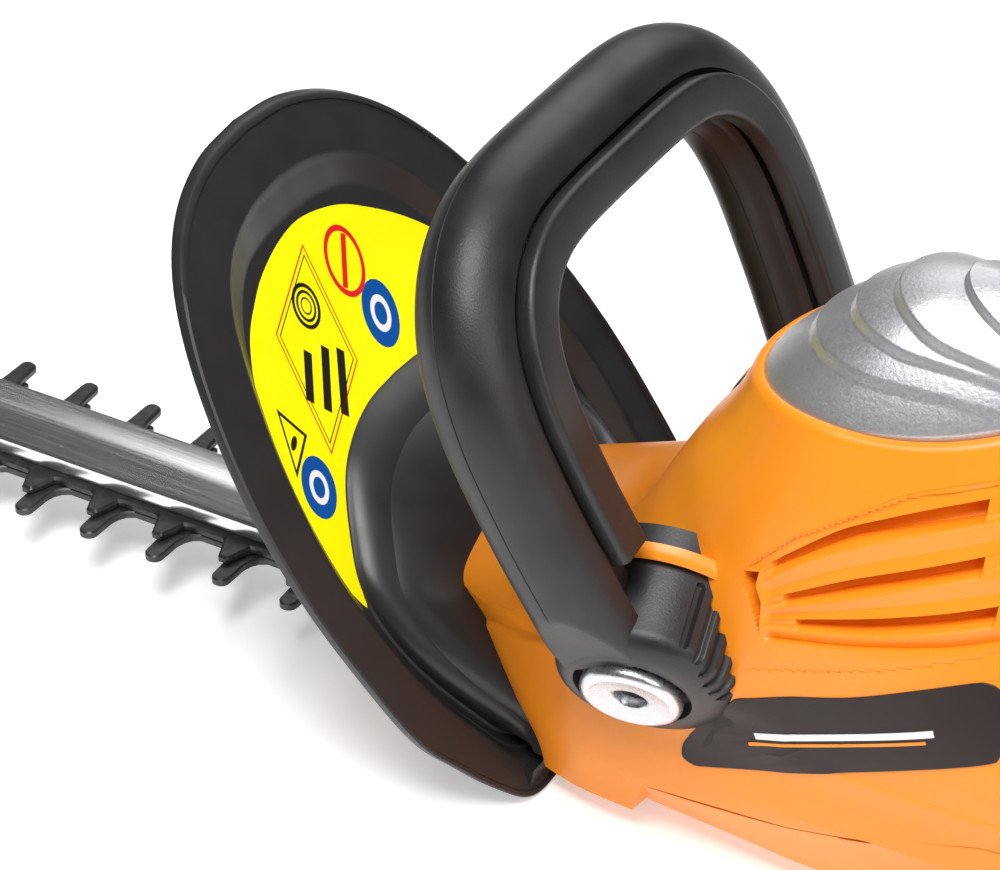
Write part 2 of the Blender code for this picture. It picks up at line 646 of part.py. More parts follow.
def fan_outline(radius, hub, blades):
    outline = []
    for i in range(blades):
        middle = 2.0 * math.pi * i / blades
        for reach, share in ((hub, -0.30), (radius, -0.06), (radius, 0.06), (hub, 0.30)):
            angle = middle + share * 2.0 * math.pi / blades
            outline.append((reach * math.cos(angle), reach * math.sin(angle)))
    return outline


def make_motor(materials):
    steel = materials["steel"]
    up = (0, 0, 1)
    centre = (0.0, 0.0, 0.0)
    core = [(4.0, 46.0), (4.0, 90.0), (23.5, 90.0), (23.5, 132.0), (12.0, 136.0), (12.0, 150.0), (4.0, 150.0),
            (4.0, 171.0)]
    turned("armature", core, centre, up, 20, materials["copper"], origin=(0.0, 0.0, 90.0))
    outer = fan_outline(31.0, 12.0, 10)
    washer("fan", outer, circle((0.0, 0.0), 4.3, len(outer)), 78.5, 85.0, materials["black_plastic"],
           (0.0, 0.0, 78.5))
    can = [(24.5, 88.0), (33.0, 88.0), (33.0, 134.0), (24.5, 134.0)]
    turned("motor_stator", can, centre, up, 24, steel, hollow=True)
    for name, low in (("bearing_lower", 62.4), ("bearing_upper", 161.0)):
        ring = [(4.3, low), (11.0, low), (11.0, low + 6.0), (4.3, low + 6.0)]
        turned(name, ring, centre, up, 20, steel, hollow=True)
    bracket = [(11.3, 160.0), (35.0, 160.0), (35.0, 164.0), (14.5, 164.0), (14.5, 168.0), (11.3, 168.0)]
    turned("motor_bracket", bracket, centre, up, 24, materials["black_plastic"], hollow=True)
    for name, side in (("brush_right", -1.0), ("brush_left", 1.0)):
        low, high = sorted((12.4 * side, 30.0 * side))
        box(name, (-4.0, low, 139.0), (4.0, high, 147.0), materials["copper"])


# ---------------------------------------------------------------- rear handle parts

TRIGGER_PIVOT = (134.0, 0.0, 160.0)


def make_trigger(materials):
    """The squeeze trigger under the rear grip, hinged at its front end."""
    outline = [(132.5, 150.5), (138.0, 144.0), (152.0, 139.0), (168.0, 140.5), (174.0, 147.0), (174.0, 161.0),
               (139.5, 161.0), (139.5, 152.5)]
    prism("trigger", outline, -5.8, 5.8, materials["black_plastic"], axis="Y", origin=TRIGGER_PIVOT)
    turned("trigger_pin", [(2.0, -9.0), (2.0, 9.0)], TRIGGER_PIVOT, (0, 1, 0), 12, materials["steel"])


def make_rear_parts(materials):
    black = materials["black_plastic"]
    box("rear_switch", (184.0, -9.0, 162.0), (210.0, 9.0, 176.0), black)
    box("front_switch", (-6.0, -54.0, 92.0), (12.0, -40.0, 112.0), black)
    turned("capacitor", [(7.0, 40.0), (7.0, 64.0)], (46.0, 20.0, 0.0), (0, 0, 1), 16, materials["yellow_label"])
    gland = [(3.6, 6.0), (9.5, 6.0), (9.5, 9.0), (7.0, 9.0), (7.0, 19.0), (9.5, 19.0), (9.5, 23.0), (3.6, 23.0)]
    turned("cable_gland", gland, CORD_EXIT, CORD_DIRECTION, 16, materials["rubber"], hollow=True)
    box("cord_clamp", (226.0, -8.0, 30.0), (236.0, 8.0, 34.0), black)
    for i, (x, z) in enumerate(HOUSING_SCREWS):
        profile = [(1.7, -11.0), (1.7, 12.0), (3.5, 12.0), (3.5, 15.0)]
        turned("housing_screw_%d" % (i + 1), profile, (x, 0.0, z), (0, -1, 0), 10, materials["steel"])
    for i, y in enumerate((-46.0, 46.0)):
        profile = [(2.0, -1.5), (2.0, 8.0)]
        turned("guard_screw_%d" % (i + 1), profile, (-112.0, y, 24.0), (0.4, 0, 0.9), 10, materials["steel"])


def build():
    for old in list(bpy.data.objects):
        bpy.data.objects.remove(old)
    materials = make_materials()
    make_housing(materials)
    make_base_cover(materials)
    make_dome(materials)
    make_badges(materials)
    make_guard(materials)
    make_guard_label(materials)
    make_front_handle(materials)
    make_switch_bar(materials)
    make_blades(materials)
    make_drive(materials)
    make_motor(materials)
    make_trigger(materials)
    make_rear_parts(materials)
    for solid in bpy.data.objects:
        solid.location.x += ORIGIN_SHIFT * MM


build()
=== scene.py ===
"""Looks of the electric hedge trimmer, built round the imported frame.

Points are laid out in millimetres about the upright motor's axis (+X rear, +Y left, +Z up), as the CAD
lays them out, and world() turns them into the frame's metres.
"""
import json
import math
import bmesh
import bpy
import numpy as np
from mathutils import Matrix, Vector
from mathutils.bvhtree import BVHTree

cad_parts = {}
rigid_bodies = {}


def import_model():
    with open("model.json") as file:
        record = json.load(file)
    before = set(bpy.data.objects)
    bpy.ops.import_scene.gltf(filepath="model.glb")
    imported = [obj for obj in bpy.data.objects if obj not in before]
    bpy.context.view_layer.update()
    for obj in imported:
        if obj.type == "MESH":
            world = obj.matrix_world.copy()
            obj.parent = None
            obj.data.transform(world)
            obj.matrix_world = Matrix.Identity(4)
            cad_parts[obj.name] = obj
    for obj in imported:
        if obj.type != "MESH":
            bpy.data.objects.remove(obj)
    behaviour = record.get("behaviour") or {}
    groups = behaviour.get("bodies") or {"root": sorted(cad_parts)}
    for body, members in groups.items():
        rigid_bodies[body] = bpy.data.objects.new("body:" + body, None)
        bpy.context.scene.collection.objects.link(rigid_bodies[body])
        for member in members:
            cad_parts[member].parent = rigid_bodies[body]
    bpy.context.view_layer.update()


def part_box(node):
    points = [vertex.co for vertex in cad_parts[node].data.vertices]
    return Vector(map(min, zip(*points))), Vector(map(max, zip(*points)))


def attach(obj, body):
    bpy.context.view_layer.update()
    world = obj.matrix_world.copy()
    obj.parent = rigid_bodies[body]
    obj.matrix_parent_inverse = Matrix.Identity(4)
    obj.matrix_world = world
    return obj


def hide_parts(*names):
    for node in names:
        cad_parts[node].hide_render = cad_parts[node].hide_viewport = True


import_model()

MM = 0.001
MOTOR_LOW, MOTOR_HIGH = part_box("motor_stator")
MOTOR_X = 0.5 * (MOTOR_LOW[0] + MOTOR_HIGH[0])
TAU = 2.0 * math.pi


# ---- geometry helpers

def world(points):
    """Millimetres about the motor's axis to metres in the frame."""
    out = np.asarray(points, dtype=float) * MM
    out[..., 0] += MOTOR_X
    return out


def smoothstep(low, high, value):
    """A smooth step from 0 at low to 1 at high."""
    t = np.clip((value - low) / (high - low), 0.0, 1.0)
    return t * t * (3.0 - 2.0 * t)


def catmull(a, b, c, d, t):
    """A place between b and c on the Catmull-Rom curve through four points."""
    return 0.5 * (2 * b + (c - a) * t + (2 * a - 5 * b + 4 * c - d) * t ** 2
                  + (3 * b - a - 3 * c + d) * t ** 3)


def spline(points, count, closed=False):
    """Catmull-Rom curve through given points, evenly spaced in length."""
    knots = np.asarray(points, dtype=float)
    if closed:
        ext = np.vstack([knots[-1], knots, knots[0], knots[1]])
    else:
        ext = np.vstack([2 * knots[0] - knots[1], knots, 2 * knots[-1] - knots[-2]])
    spans = len(ext) - 3
    t = np.linspace(0.0, 1.0, 24, endpoint=False)[:, None]
    pieces = [catmull(*ext[i:i + 4], t) for i in range(spans)]
    dense = np.vstack(pieces + [knots[:1] if closed else knots[-1:]])
    length = np.concatenate([[0.0], np.cumsum(np.linalg.norm(np.diff(dense, axis=0), axis=1))])
    wanted = np.linspace(0.0, length[-1], count, endpoint=not closed)
    return np.stack([np.interp(wanted, length, dense[:, k]) for k in range(dense.shape[1])], axis=1)


def add_object(name, data):
    """Make an object of some data and put it in the scene."""
    made = bpy.data.objects.new(name, data)
    bpy.context.scene.collection.objects.link(made)
    return made


def new_piece(name, points, faces, finish, crease=32.0, body="tool"):
    """Make a named piece from points in millimetres and hang it on its CAD body."""
    mesh = bpy.data.meshes.new(name)
    mesh.from_pydata(world(points).tolist(), [], faces)
    work = bmesh.new()
    work.from_mesh(mesh)
    bmesh.ops.remove_doubles(work, verts=work.verts, dist=2e-6)
    bmesh.ops.recalc_face_normals(work, faces=work.faces)
    work.to_mesh(mesh)
    work.free()
    mesh.materials.append(MAT[finish])
    mesh.shade_smooth()
    mesh.set_sharp_from_angle(angle=math.radians(crease))
    piece = add_object(name, mesh)
    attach(piece, body)
    return piece


def grid_faces(rows, columns, wrap_rows=False, wrap_columns=True, start=0):
    """Quads over a grid of points, closed round its rows or its columns."""
    faces = []
    for i in range(rows if wrap_rows else rows - 1):
        a = start + i * columns
        b = start + ((i + 1) % rows) * columns
        for j in range(columns if wrap_columns else columns - 1):
            k = (j + 1) % columns
            faces.append((a + j, a + k, b + k, b + j))
    return faces


def skin(name, loops, finish, ring=False, crease=32.0, body="tool"):
    """Skin equal loops of points, with flat ends or joined into a ring."""
    loops = np.asarray(loops, dtype=float)
    rows, columns = loops.shape[:2]
    faces = grid_faces(rows, columns, wrap_rows=ring)
    if not ring:
        faces.append(tuple(range(columns)))
        faces.append(tuple(range((rows - 1) * columns, rows * columns)))
    return new_piece(name, loops.reshape(-1, 3), faces, finish, crease, body)


def turned(profile, base, direction, steps=64):
    """Loops of a profile of (radius, height) turned about an axis."""
    along = Vector(direction).normalized()
    side = along.orthogonal().normalized()
    other = along.cross(side)
    base = Vector(base)
    loops = []
    turns = [TAU * i / steps for i in range(steps)]
    spokes = [side * math.cos(turn) + other * math.sin(turn) for turn in turns]
    for radius, height in profile:
        loops.append([tuple(base + along * height + spoke * radius) for spoke in spokes])
    return loops


SIDES = ((1.0, "right"), (-1.0, "left"))


def mirrored(points, side):
    """The right hand points for side 1, and their mirror image for side -1."""
    out = np.array(points, dtype=float)
    out[..., 1] *= side
    return out


def shrunk(outline, share):
    """An outline drawn in toward its own middle."""
    outline = np.asarray(outline, dtype=float)
    centre = outline.mean(axis=0)
    return centre + (outline - centre) * share


# ---- materials

def tree_node(tree, kind, **inputs):
    """A new node in a node tree, with its named inputs set."""
    made = tree.nodes.new(kind)
    for key, value in inputs.items():
        made.inputs[key.replace("_", " ")].default_value = value
    return made


class Recipe:
    """Wires one Principled material, with noise in object space."""

    def __init__(self, name, colour, roughness, metallic=0.0, specular=0.5):
        self.material = bpy.data.materials.new(name)
        self.material.use_nodes = True
        self.tree = self.material.node_tree
        self.shader = self.tree.nodes["Principled BSDF"]
        self.shader.inputs["Base Color"].default_value = (*colour, 1.0)
        self.shader.inputs["Roughness"].default_value = roughness
        self.shader.inputs["Metallic"].default_value = metallic
        self.shader.inputs["Specular IOR Level"].default_value = specular
        self.colour = colour
        self.roughness = roughness
        self.place = self.tree.nodes.new("ShaderNodeTexCoord").outputs["Object"]

    def noise(self, scale, detail, rough=0.5, stretch=None):
        """A noise pattern, optionally squeezed along the axes."""
        texture = tree_node(self.tree, "ShaderNodeTexNoise", Scale=scale, Detail=detail, Roughness=rough)
        place = self.place
        if stretch:
            mapping = tree_node(self.tree, "ShaderNodeMapping", Scale=stretch)
            self.tree.links.new(place, mapping.inputs["Vector"])
            place = mapping.outputs["Vector"]
        self.tree.links.new(place, texture.inputs["Vector"])
        return texture.outputs["Fac"]

    def spread(self, value, low, high, to_low, to_high):
        """Turn the band from low to high into another band."""
        ramp = tree_node(self.tree, "ShaderNodeMapRange", From_Min=low, From_Max=high, To_Min=to_low,
                         To_Max=to_high)
        self.tree.links.new(value, ramp.inputs["Value"])
        return ramp.outputs["Result"]

    def tone(self, noise, other, low=0.3, high=0.7):
        """Mix another colour into the base colour."""
        mix = self.tree.nodes.new("ShaderNodeMix")
        mix.data_type = "RGBA"
        factor, first, second = mix.inputs[0], mix.inputs[6], mix.inputs[7]
        self.tree.links.new(self.spread(self.noise(*noise), low, high, 0.0, 1.0), factor)
        first.default_value = (*self.colour, 1.0)
        second.default_value = (*other, 1.0)
        self.tree.links.new(mix.outputs[2], self.shader.inputs["Base Color"])

    def sheen(self, noise, amount):
        """Let the roughness swing by an amount either way."""
        result = self.spread(self.noise(*noise), 0.3, 0.7, self.roughness - amount, self.roughness + amount)
        self.tree.links.new(result, self.shader.inputs["Roughness"])

    def grain(self, noise, strength, depth):
        """Fine bumps, with their depth in metres."""
        bump = tree_node(self.tree, "ShaderNodeBump", Strength=strength, Distance=depth)
        self.tree.links.new(self.noise(*noise), bump.inputs["Height"])
        self.tree.links.new(bump.outputs["Normal"], self.shader.inputs["Normal"])


FINE, COARSE, PAINT = 0.0002, 0.0003, 0.0004
STREAKS = (900.0, 4.0, 0.7, (0.02, 1.0, 1.0))
# Each finish has a base (name, colour, roughness, metallic, specular), and any of a tone, a sheen and a
# grain, which are what the Recipe's methods of those names take. A noise is (scale, detail, roughness,
# stretch).
FINISHES = {
    "orange": (("orange_moulded", (0.93, 0.285, 0.012), 0.36),
        ((18.0, 3.0), (0.90, 0.265, 0.010)), ((60.0, 3.0), 0.04), ((2200.0, 2.0), 0.12, FINE)),
    "black": (("black_moulded", (0.024, 0.0225, 0.024), 0.42),
        ((40.0, 4.0), (0.012, 0.011, 0.012)), ((90.0, 4.0), 0.05), ((1500.0, 3.0), 0.22, COARSE)),
    "smooth": (("black_smooth", (0.022, 0.0212, 0.0225), 0.36),
        None, ((70.0, 4.0), 0.05), ((1800.0, 2.0), 0.10, FINE)),
    "silver": (("silver_paint", (0.56, 0.56, 0.58), 0.42, 0.75),
        ((1300.0, 3.0), (0.50, 0.50, 0.52)), ((900.0, 2.0), 0.06), ((750.0, 3.0, 0.6), 0.35, PAINT)),
    "disc": (("disc_silver", (0.62, 0.63, 0.66), 0.30, 0.9),
        None, ((1200.0, 2.0), 0.05), ((1600.0, 2.0), 0.12, FINE)),
    "rail": (("brushed_rail", (0.86, 0.85, 0.85), 0.22, 0.95),
        (STREAKS, (0.78, 0.775, 0.775)), (STREAKS, 0.07), (STREAKS, 0.10, FINE)),
    "blade": (("dark_blade", (0.060, 0.057, 0.058), 0.42, 0.7),
        ((220.0, 5.0, 0.65), (0.10, 0.096, 0.094), 0.45, 0.75), ((400.0, 3.0), 0.08),
        ((1200.0, 3.0), 0.18, FINE)),
    "steel": (("plain_steel", (0.56, 0.56, 0.57), 0.32, 1.0), None, ((500.0, 3.0), 0.08), None),
    "alloy": (("cast_alloy_finish", (0.58, 0.58, 0.59), 0.5, 1.0),
        None, ((200.0, 3.0), 0.08), ((700.0, 4.0), 0.3, COARSE)),
    "copper": (("wound_copper", (0.72, 0.34, 0.14), 0.35, 1.0),
        None, None, ((900.0, 2.0, 0.5, (1.0, 1.0, 0.1)), 0.3, COARSE)),
    "rubber": (("soft_rubber", (0.022, 0.021, 0.021), 0.62),
        None, ((120.0, 3.0), 0.06), ((1400.0, 3.0), 0.25, COARSE)),
    "yellow": (("yellow_film", (1.0, 0.90, 0.0), 0.42, 0.0, 0.35),
        None, ((300.0, 3.0), 0.03), ((1600.0, 2.0), 0.03, FINE)),
    "badge": (("badge_film", (0.026, 0.017, 0.016), 0.45, 0.0, 0.3),
        None, ((300.0, 3.0), 0.03), ((1600.0, 2.0), 0.05, FINE)),
}
INKS = {
    "ink_red": (0.72, 0.012, 0.015),
    "ink_blue": (0.0, 0.075, 0.33),
    "ink_black": (0.012, 0.011, 0.011),
    "ink_white": (0.82, 0.82, 0.82),
}
for ink, colour in INKS.items():
    FINISHES[ink] = ((ink, colour, 0.42, 0.0, 0.35), None, ((300.0, 2.0), 0.02), None)


def make_materials():
    made = {}
    for key, (base, tone, sheen, grain) in FINISHES.items():
        recipe = Recipe(*base)
        if tone:
            recipe.tone(*tone)
        if sheen:
            recipe.sheen(*sheen)
        if grain:
            recipe.grain(*grain)
        made[key] = recipe.material
    return made


MAT = make_materials()


# ---- housing

# Levels of the body's skin, from the cap's rim down. Each has: reach forward, reach back, half width,
# squareness, and height on the front's, side's and rear's middle. On the lip's levels the front follows the
# leaning line of the body's front opening instead.
BODY_CENTRE_X = -6.0
BODY_LEVELS = (
    (43.0, 69.0, 41.2, 2.0, 164.0, 170.0, 186.0),
    (44.2, 70.2, 42.4, 2.0, 165.0, 171.2, 187.4),
    (47.0, 73.0, 45.4, 2.0, 163.4, 169.8, 187.2),
    (49.5, 76.0, 47.8, 2.0, 157.0, 164.5, 184.5),
    (56.0, 82.0, 52.4, 2.0, 144.5, 153.0, 178.0),
    (65.0, 92.0, 57.6, 2.05, 131.5, 138.0, 168.0),
    (75.0, 103.0, 62.4, 2.1, 114.0, 121.0, 152.0),
    (85.0, 113.0, 66.4, 2.4, 94.0, 104.0, 136.0),
    (97.0, 121.0, 69.0, 3.2, 79.0, 88.0, 118.0),
    (116.0, 126.0, 70.0, 6.0, 75.0, 73.0, 98.0),
)
LIP_LEVELS = (
    (132.0, 128.0, 70.0, 14.0, 72.6, 64.0, 84.0),
    (133.0, 128.6, 70.4, 16.0, 71.6, 60.5, 80.0),
    (121.0, 129.6, 69.2, 16.0, 56.0, 51.0, 66.0),
    (111.0, 130.0, 69.8, 16.0, 40.0, 39.0, 50.0),
    (105.0, 130.0, 69.4, 16.0, 27.0, 27.0, 38.0),
    (103.0, 130.0, 68.6, 16.0, 23.0, 23.0, 34.0),
)
BODY_COLUMNS = 800
BODY_ROWS = 200
LIP_X = -93.5
LIP_LEAN = 0.8
NOTCH_X = -65.0
NOTCH_FLOOR_Z = 9.6
NOTCH_WIDTH_SHARE = 0.975
JOINT_Z = 23.4
JOINT_END_X = 60.0
# The body narrows toward its front, from this place and over this length, a little less near the floor
TAPER_X = -38.0
TAPER_LENGTH = 104.0
TAPER_SHARE = 0.34
TAPER_RELIEF = 0.07
CORNER_CROWDING = 0.10
REAR_SQUARENESS_LIMIT = 5.0


def base_joint_z(x):
    """Height of the line where the base tray meets the two halves, curving up to the rear."""
    run = np.clip(x - NOTCH_X, 0.0, JOINT_END_X - NOTCH_X)
    return JOINT_Z + 0.085 * run + 0.0009 * run ** 2 + 0.08 * np.clip(x - JOINT_END_X, 0.0, None)


def body_skin(shrink=0.0):
    """A grid of points over the whole body, rows from the rim down and columns round from the rear."""
    angle = np.linspace(0.0, TAU, BODY_COLUMNS, endpoint=False)
    # columns sit closer together where the corners are tight
    angle = angle - CORNER_CROWDING * np.sin(4.0 * angle)
    c, s = np.cos(angle), np.sin(angle)
    loops = []
    levels = [(*level, False) for level in BODY_LEVELS] + [(*level, True) for level in LIP_LEVELS]
    for ahead, back, width, square, z_front, z_side, z_rear, lip in levels:
        power = np.where(c < 0.0, 2.0 / square, 2.0 / min(square, REAR_SQUARENESS_LIMIT))
        y = (width - shrink) * np.sign(s) * np.abs(s) ** power
        share = (y / (width - shrink)) ** 2
        z = np.where(c < 0.0, z_front, z_rear) * (1.0 - share) + z_side * share
        reach_front = BODY_CENTRE_X - (LIP_X - LIP_LEAN * z) if lip else ahead
        reach = np.where(c < 0.0, reach_front, back) - shrink
        x = BODY_CENTRE_X + reach * np.sign(c) * np.abs(c) ** power
        taper = TAPER_SHARE * np.clip((TAPER_X - x) / TAPER_LENGTH, 0.0, 1.1) ** 1.2
        near_floor = np.clip(1.0 - (z - 10.0) / 50.0, 0.0, 1.0)
        taper = taper - TAPER_RELIEF * near_floor * smoothstep(-60.0, -90.0, x)
        if lip:
            y = y * (1.0 - taper)
        elif square > 3.0:
            y = y * (1.0 - 0.8 * taper)
        loops.append(np.stack([x, y, z], axis=1))
    loops = np.asarray(loops)
    # the lower edge follows the joint with the base tray, and steps down in front of it
    before, last = loops[-2], loops[-1]
    joint = base_joint_z(last[:, 0])
    ahead_of_notch = last[:, 0] < NOTCH_X
    low = np.where(ahead_of_notch, NOTCH_FLOOR_Z, joint)
    before[:, 2] = np.maximum(before[:, 2], joint + 3.0)
    last[:, 2] = low
    last[:, 1] *= np.where(ahead_of_notch, NOTCH_WIDTH_SHARE, 1.0)
    last[:, 0] = np.where(c < 0.0, np.maximum(last[:, 0], LIP_X - LIP_LEAN * low), last[:, 0])
    final = len(loops) - 1
    out = []
    for row in np.linspace(0.0, final, BODY_ROWS):
        i = min(int(row), final - 1)
        start, end = loops[i], loops[i + 1]
        if i == final - 1:
            out.append(start + (end - start) * (row - i))
        else:
            out.append(catmull(loops[max(i - 1, 0)], start, end, loops[i + 2], row - i))
    return np.asarray(out)


def surface_normals(grid):
    """Outward unit normals of a grid that closes round its columns."""
    down = np.gradient(grid, axis=0)
    across = np.roll(grid, -1, axis=1) - np.roll(grid, 1, axis=1)
    normal = np.cross(across, down)
    normal /= np.linalg.norm(normal, axis=2, keepdims=True) + 1e-12
    centre = grid.mean(axis=(0, 1))
    flip = np.sign(np.sum(normal * (grid - centre), axis=2).mean())
    return normal * flip


FAR = 200.0
BODY_GRID = body_skin()
BODY_TREE = BVHTree.FromPolygons(BODY_GRID.reshape(-1, 3).tolist(), grid_faces(BODY_ROWS, BODY_COLUMNS))


def on_side(x, z):
    """Where the body's right hand skin is, looking along Y, and its outward normal."""
    place, normal = BODY_TREE.ray_cast(Vector((x, -FAR, z)), Vector((0.0, 1.0, 0.0)))[:2]
    if place is None:
        return np.array((x, -60.0, z)), np.array((0.0, -1.0, 0.0))
    if normal.y > 0.0:
        normal = -normal
    return np.array(place), np.array(normal)


# The vent field's lines on each side, from front to rear, as (x, z) on the side view
FIELD_TOP = ((-30.5, 119.5), (-22, 128.5), (-13.6, 137.4), (4.1, 149.2), (20.7, 159.8), (44.7, 167.7),
             (60, 170))
VENT_LINES = (
    (((-23.4, 122), (-18.5, 127.9), (-0.1, 143), (14.8, 150.9), (29.2, 157.1), (43.1, 162), (60, 167)),
     ((-23.6, 120.8), (-18.3, 125.5), (0.6, 139.2), (13.1, 145.5), (43.6, 156.3), (60, 161)),
     ((-23.8, 117.3), (-21.8, 118.9), (-8, 130.6), (13.9, 142.9), (47.8, 156.1), (60, 160))),
    (((-21, 113), (-17.9, 115.4), (-13, 118.6), (8.1, 130), (33.1, 140.5), (50, 147.1), (60, 150.5)),
     ((-20.8, 111.7), (-10.9, 116.8), (14, 128.4), (46.7, 141), (60, 145.5)),
     ((-20.6, 109.4), (-14.4, 113.3), (9.3, 123.7), (34.3, 134.4), (51.5, 140.1), (60, 143))),
    (((-20.4, 106.8), (-7.1, 112), (15.7, 119.2), (36, 125.7), (52.3, 131.2), (60, 134)),
     ((-20.2, 105.8), (-5.3, 109.9), (16.3, 115.5), (54.2, 127.6), (60, 129.6)),
     ((-20.0, 104.4), (-9.3, 107.1), (16.7, 113.2), (37.3, 119), (54.5, 125.2), (60, 127.5))),
)
FIELD_LOW = ((-19.4, 101.6), (6.4, 107.2), (27.9, 112.7), (43.1, 116.9), (55.7, 121.2), (60, 122.8))
FIELD_SKIRT = ((-26.3, 87.4), (2.2, 96.7), (23.9, 104.3), (45, 112.8), (60, 119.5))
# Where each slot's dark part starts and ends
VENT_ENDS = ((-19.5, 43.3), (-13.5, 46.0), (-8.0, 52.8))
VENT_COLUMNS = 260
SLOT_DEPTH = 8.0
LOWER_FACE_DEPTH = 4.2


def vent_rows():
    """The field's rows from the top: a line, its ridge's sink, its slot's depth and its slot's ends."""
    rows = []
    ends = VENT_ENDS[0]

    def add_mix(first, second, share, ridge, groove=0.0):
        rows.append((first * (1.0 - share) + second * share, ridge, groove, ends))

    top, low, skirt = [spline(line, VENT_COLUMNS) for line in (FIELD_TOP, FIELD_LOW, FIELD_SKIRT)]
    vents = [[spline(line, VENT_COLUMNS) for line in vent] for vent in VENT_LINES]
    add_mix(top, top, 0.0, 0.0)
    add_mix(top, top, 0.0, 0.15)
    add_mix(top, vents[0][0], 0.06, 0.9)
    for index, (upper, dark, crease) in enumerate(vents):
        ends = VENT_ENDS[index]
        is_last = index == len(vents) - 1
        below = low if is_last else vents[index + 1][0]
        add_mix(upper, upper, 0.0, 0.9)
        add_mix(upper, dark, 0.03, 1.1, SLOT_DEPTH)
        for share in (0.3, 0.6, 0.85):
            add_mix(upper, dark, share, 1.1, SLOT_DEPTH - 3.4 * share)
        for share in (0.0, 0.18, 0.36, 0.55, 0.75, 0.93):
            add_mix(dark, crease, share, 0.3, LOWER_FACE_DEPTH * (1.0 - share) ** 2.0)
        add_mix(crease, crease, 0.0, 0.25)
        for share, ridge in ((0.08, 0.45), (0.5, 1.3), (0.56, 1.5), (0.9, 2.0 if is_last else 1.0)):
            add_mix(crease, below, share, ridge)
    add_mix(low, low, 0.0, 2.2)
    for share, ridge in ((0.06, 0.5), (0.5, 0.1), (0.94, 0.4), (1.0, 0.5)):
        add_mix(low, skirt, share, ridge)
    return rows


def vent_rim(rows, columns):
    """The indices round the edge of a grid of points, in order."""
    rim = list(range(columns)) + [i * columns + columns - 1 for i in range(1, rows)]
    rim += [(rows - 1) * columns + j for j in range(columns - 2, -1, -1)]
    rim += [i * columns for i in range(rows - 2, 0, -1)]
    return rim


def make_vent_fields():
    """The recessed field of cooling slots on each side, laid over the body's skin."""
    rows = vent_rows()
    t = np.linspace(0.0, 1.0, VENT_COLUMNS)
    full = 0.35 + 0.65 * smoothstep(0.0, 0.45, t)
    fade_in = smoothstep(0.0, 0.05, t)
    lift = 0.15
    points = []
    for line, ridge, groove, (start, end) in rows:
        x = line[:, 0]
        inside = smoothstep(start - 0.8, start + 0.5, x) * (1.0 - smoothstep(end - 0.3, end + 0.3, x))
        for k in range(VENT_COLUMNS):
            place, normal = on_side(line[k, 0], line[k, 1])
            points.append(place + normal * (lift - ridge * fade_in[k] - groove * inside[k] * full[k]))
    points = np.asarray(points)
    # the plate's back face lies nearer the middle of the body
    back = points * (1.0, 0.78, 1.0)
    total = len(rows)
    rim = vent_rim(total, VENT_COLUMNS)
    for side, name in SIDES:
        both = np.vstack([mirrored(points, side), mirrored(back, side)])
        faces = grid_faces(total, VENT_COLUMNS, wrap_columns=False)
        faces += grid_faces(total, VENT_COLUMNS, wrap_columns=False, start=len(points))
        for a, b in zip(rim, rim[1:] + rim[:1]):
            faces.append((a, b, b + len(points), a + len(points)))
        new_piece("vent_field_" + name, both, faces, "orange", 26.0)


def in_field(x, z):
    """How far inside the vent field a place is, in millimetres, negative outside."""
    top = np.interp(x, [p[0] for p in FIELD_TOP], [p[1] for p in FIELD_TOP])
    low = np.interp(x, [p[0] for p in FIELD_SKIRT], [p[1] for p in FIELD_SKIRT])
    left = x - np.interp(z, [87.4, 101.6, 119.5], [-26.3, -19.4, -30.5])
    return np.minimum(np.minimum(top - z, z - low), np.minimum(left, 60.0 - x))


POCKET_DEPTH = 11.0
LINING_GAP = 14.0
SEAM_GAP = 0.1
SEAM_BEVEL = 0.35


def body_relief(grid):
    """How far the skin is pushed in, in millimetres, behind the vent fields and below the shoulder."""
    x = grid[..., 0]
    z = grid[..., 2]
    on_flank = smoothstep(30.0, 36.0, np.abs(grid[..., 1]))
    depth = POCKET_DEPTH * smoothstep(1.2, 2.6, in_field(x, z)) * on_flank
    below = 106.5 + 0.34 * x - z
    band = smoothstep(-0.6, 0.6, below) * (1.0 - smoothstep(9.0, 11.5, below))
    fade = (1.0 - smoothstep(-84.0, -66.0, x)) * smoothstep(40.0, 50.0, np.abs(grid[..., 1]))
    depth += (0.5 + 0.14 * np.clip(below, 0.0, 10.0)) * band * fade
    return depth


def make_housing():
    """The body's two halves, each an outer skin and a lining, parted along the middle."""
    grid = BODY_GRID - surface_normals(BODY_GRID) * body_relief(BODY_GRID)[..., None]
    half = BODY_COLUMNS // 2
    inner = body_skin(LINING_GAP)
    for name, start, sign in (("left", 0, 1.0), ("right", half, -1.0)):
        columns = [(start + i) % BODY_COLUMNS for i in range(half + 1)]
        outer = grid[:, columns].copy()
        lining = inner[:, columns].copy()
        for part in (outer, lining):
            part[:, 0, 1] = SEAM_GAP * sign
            part[:, -1, 1] = SEAM_GAP * sign
        outer[:, 1, 1] = SEAM_BEVEL * sign
        outer[:, -2, 1] = SEAM_BEVEL * sign
        loops = np.concatenate([outer, lining[::-1]], axis=0)
        count = loops.shape[1]
        faces = grid_faces(loops.shape[0], count, wrap_rows=True, wrap_columns=False)
        for edge in (0, count - 1):
            for i in range(BODY_ROWS - 1):
                skin_pair = (i * count + edge, (i + 1) * count + edge)
                below, above = 2 * BODY_ROWS - 2 - i, 2 * BODY_ROWS - 1 - i
                faces.append((*skin_pair, below * count + edge, above * count + edge))
        piece = new_piece("housing_%s_shell" % name, loops.reshape(-1, 3), faces, "orange", 40.0)
        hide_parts("housing_" + name)


TRAY_STATIONS = (-64.2, -64.0, *np.linspace(-62.0, 40.0, 40), 44.0, 52.0, 56.0, 58.0)
TRAY_FLOOR_Z = 9.4
TRAY_WALL = 2.4


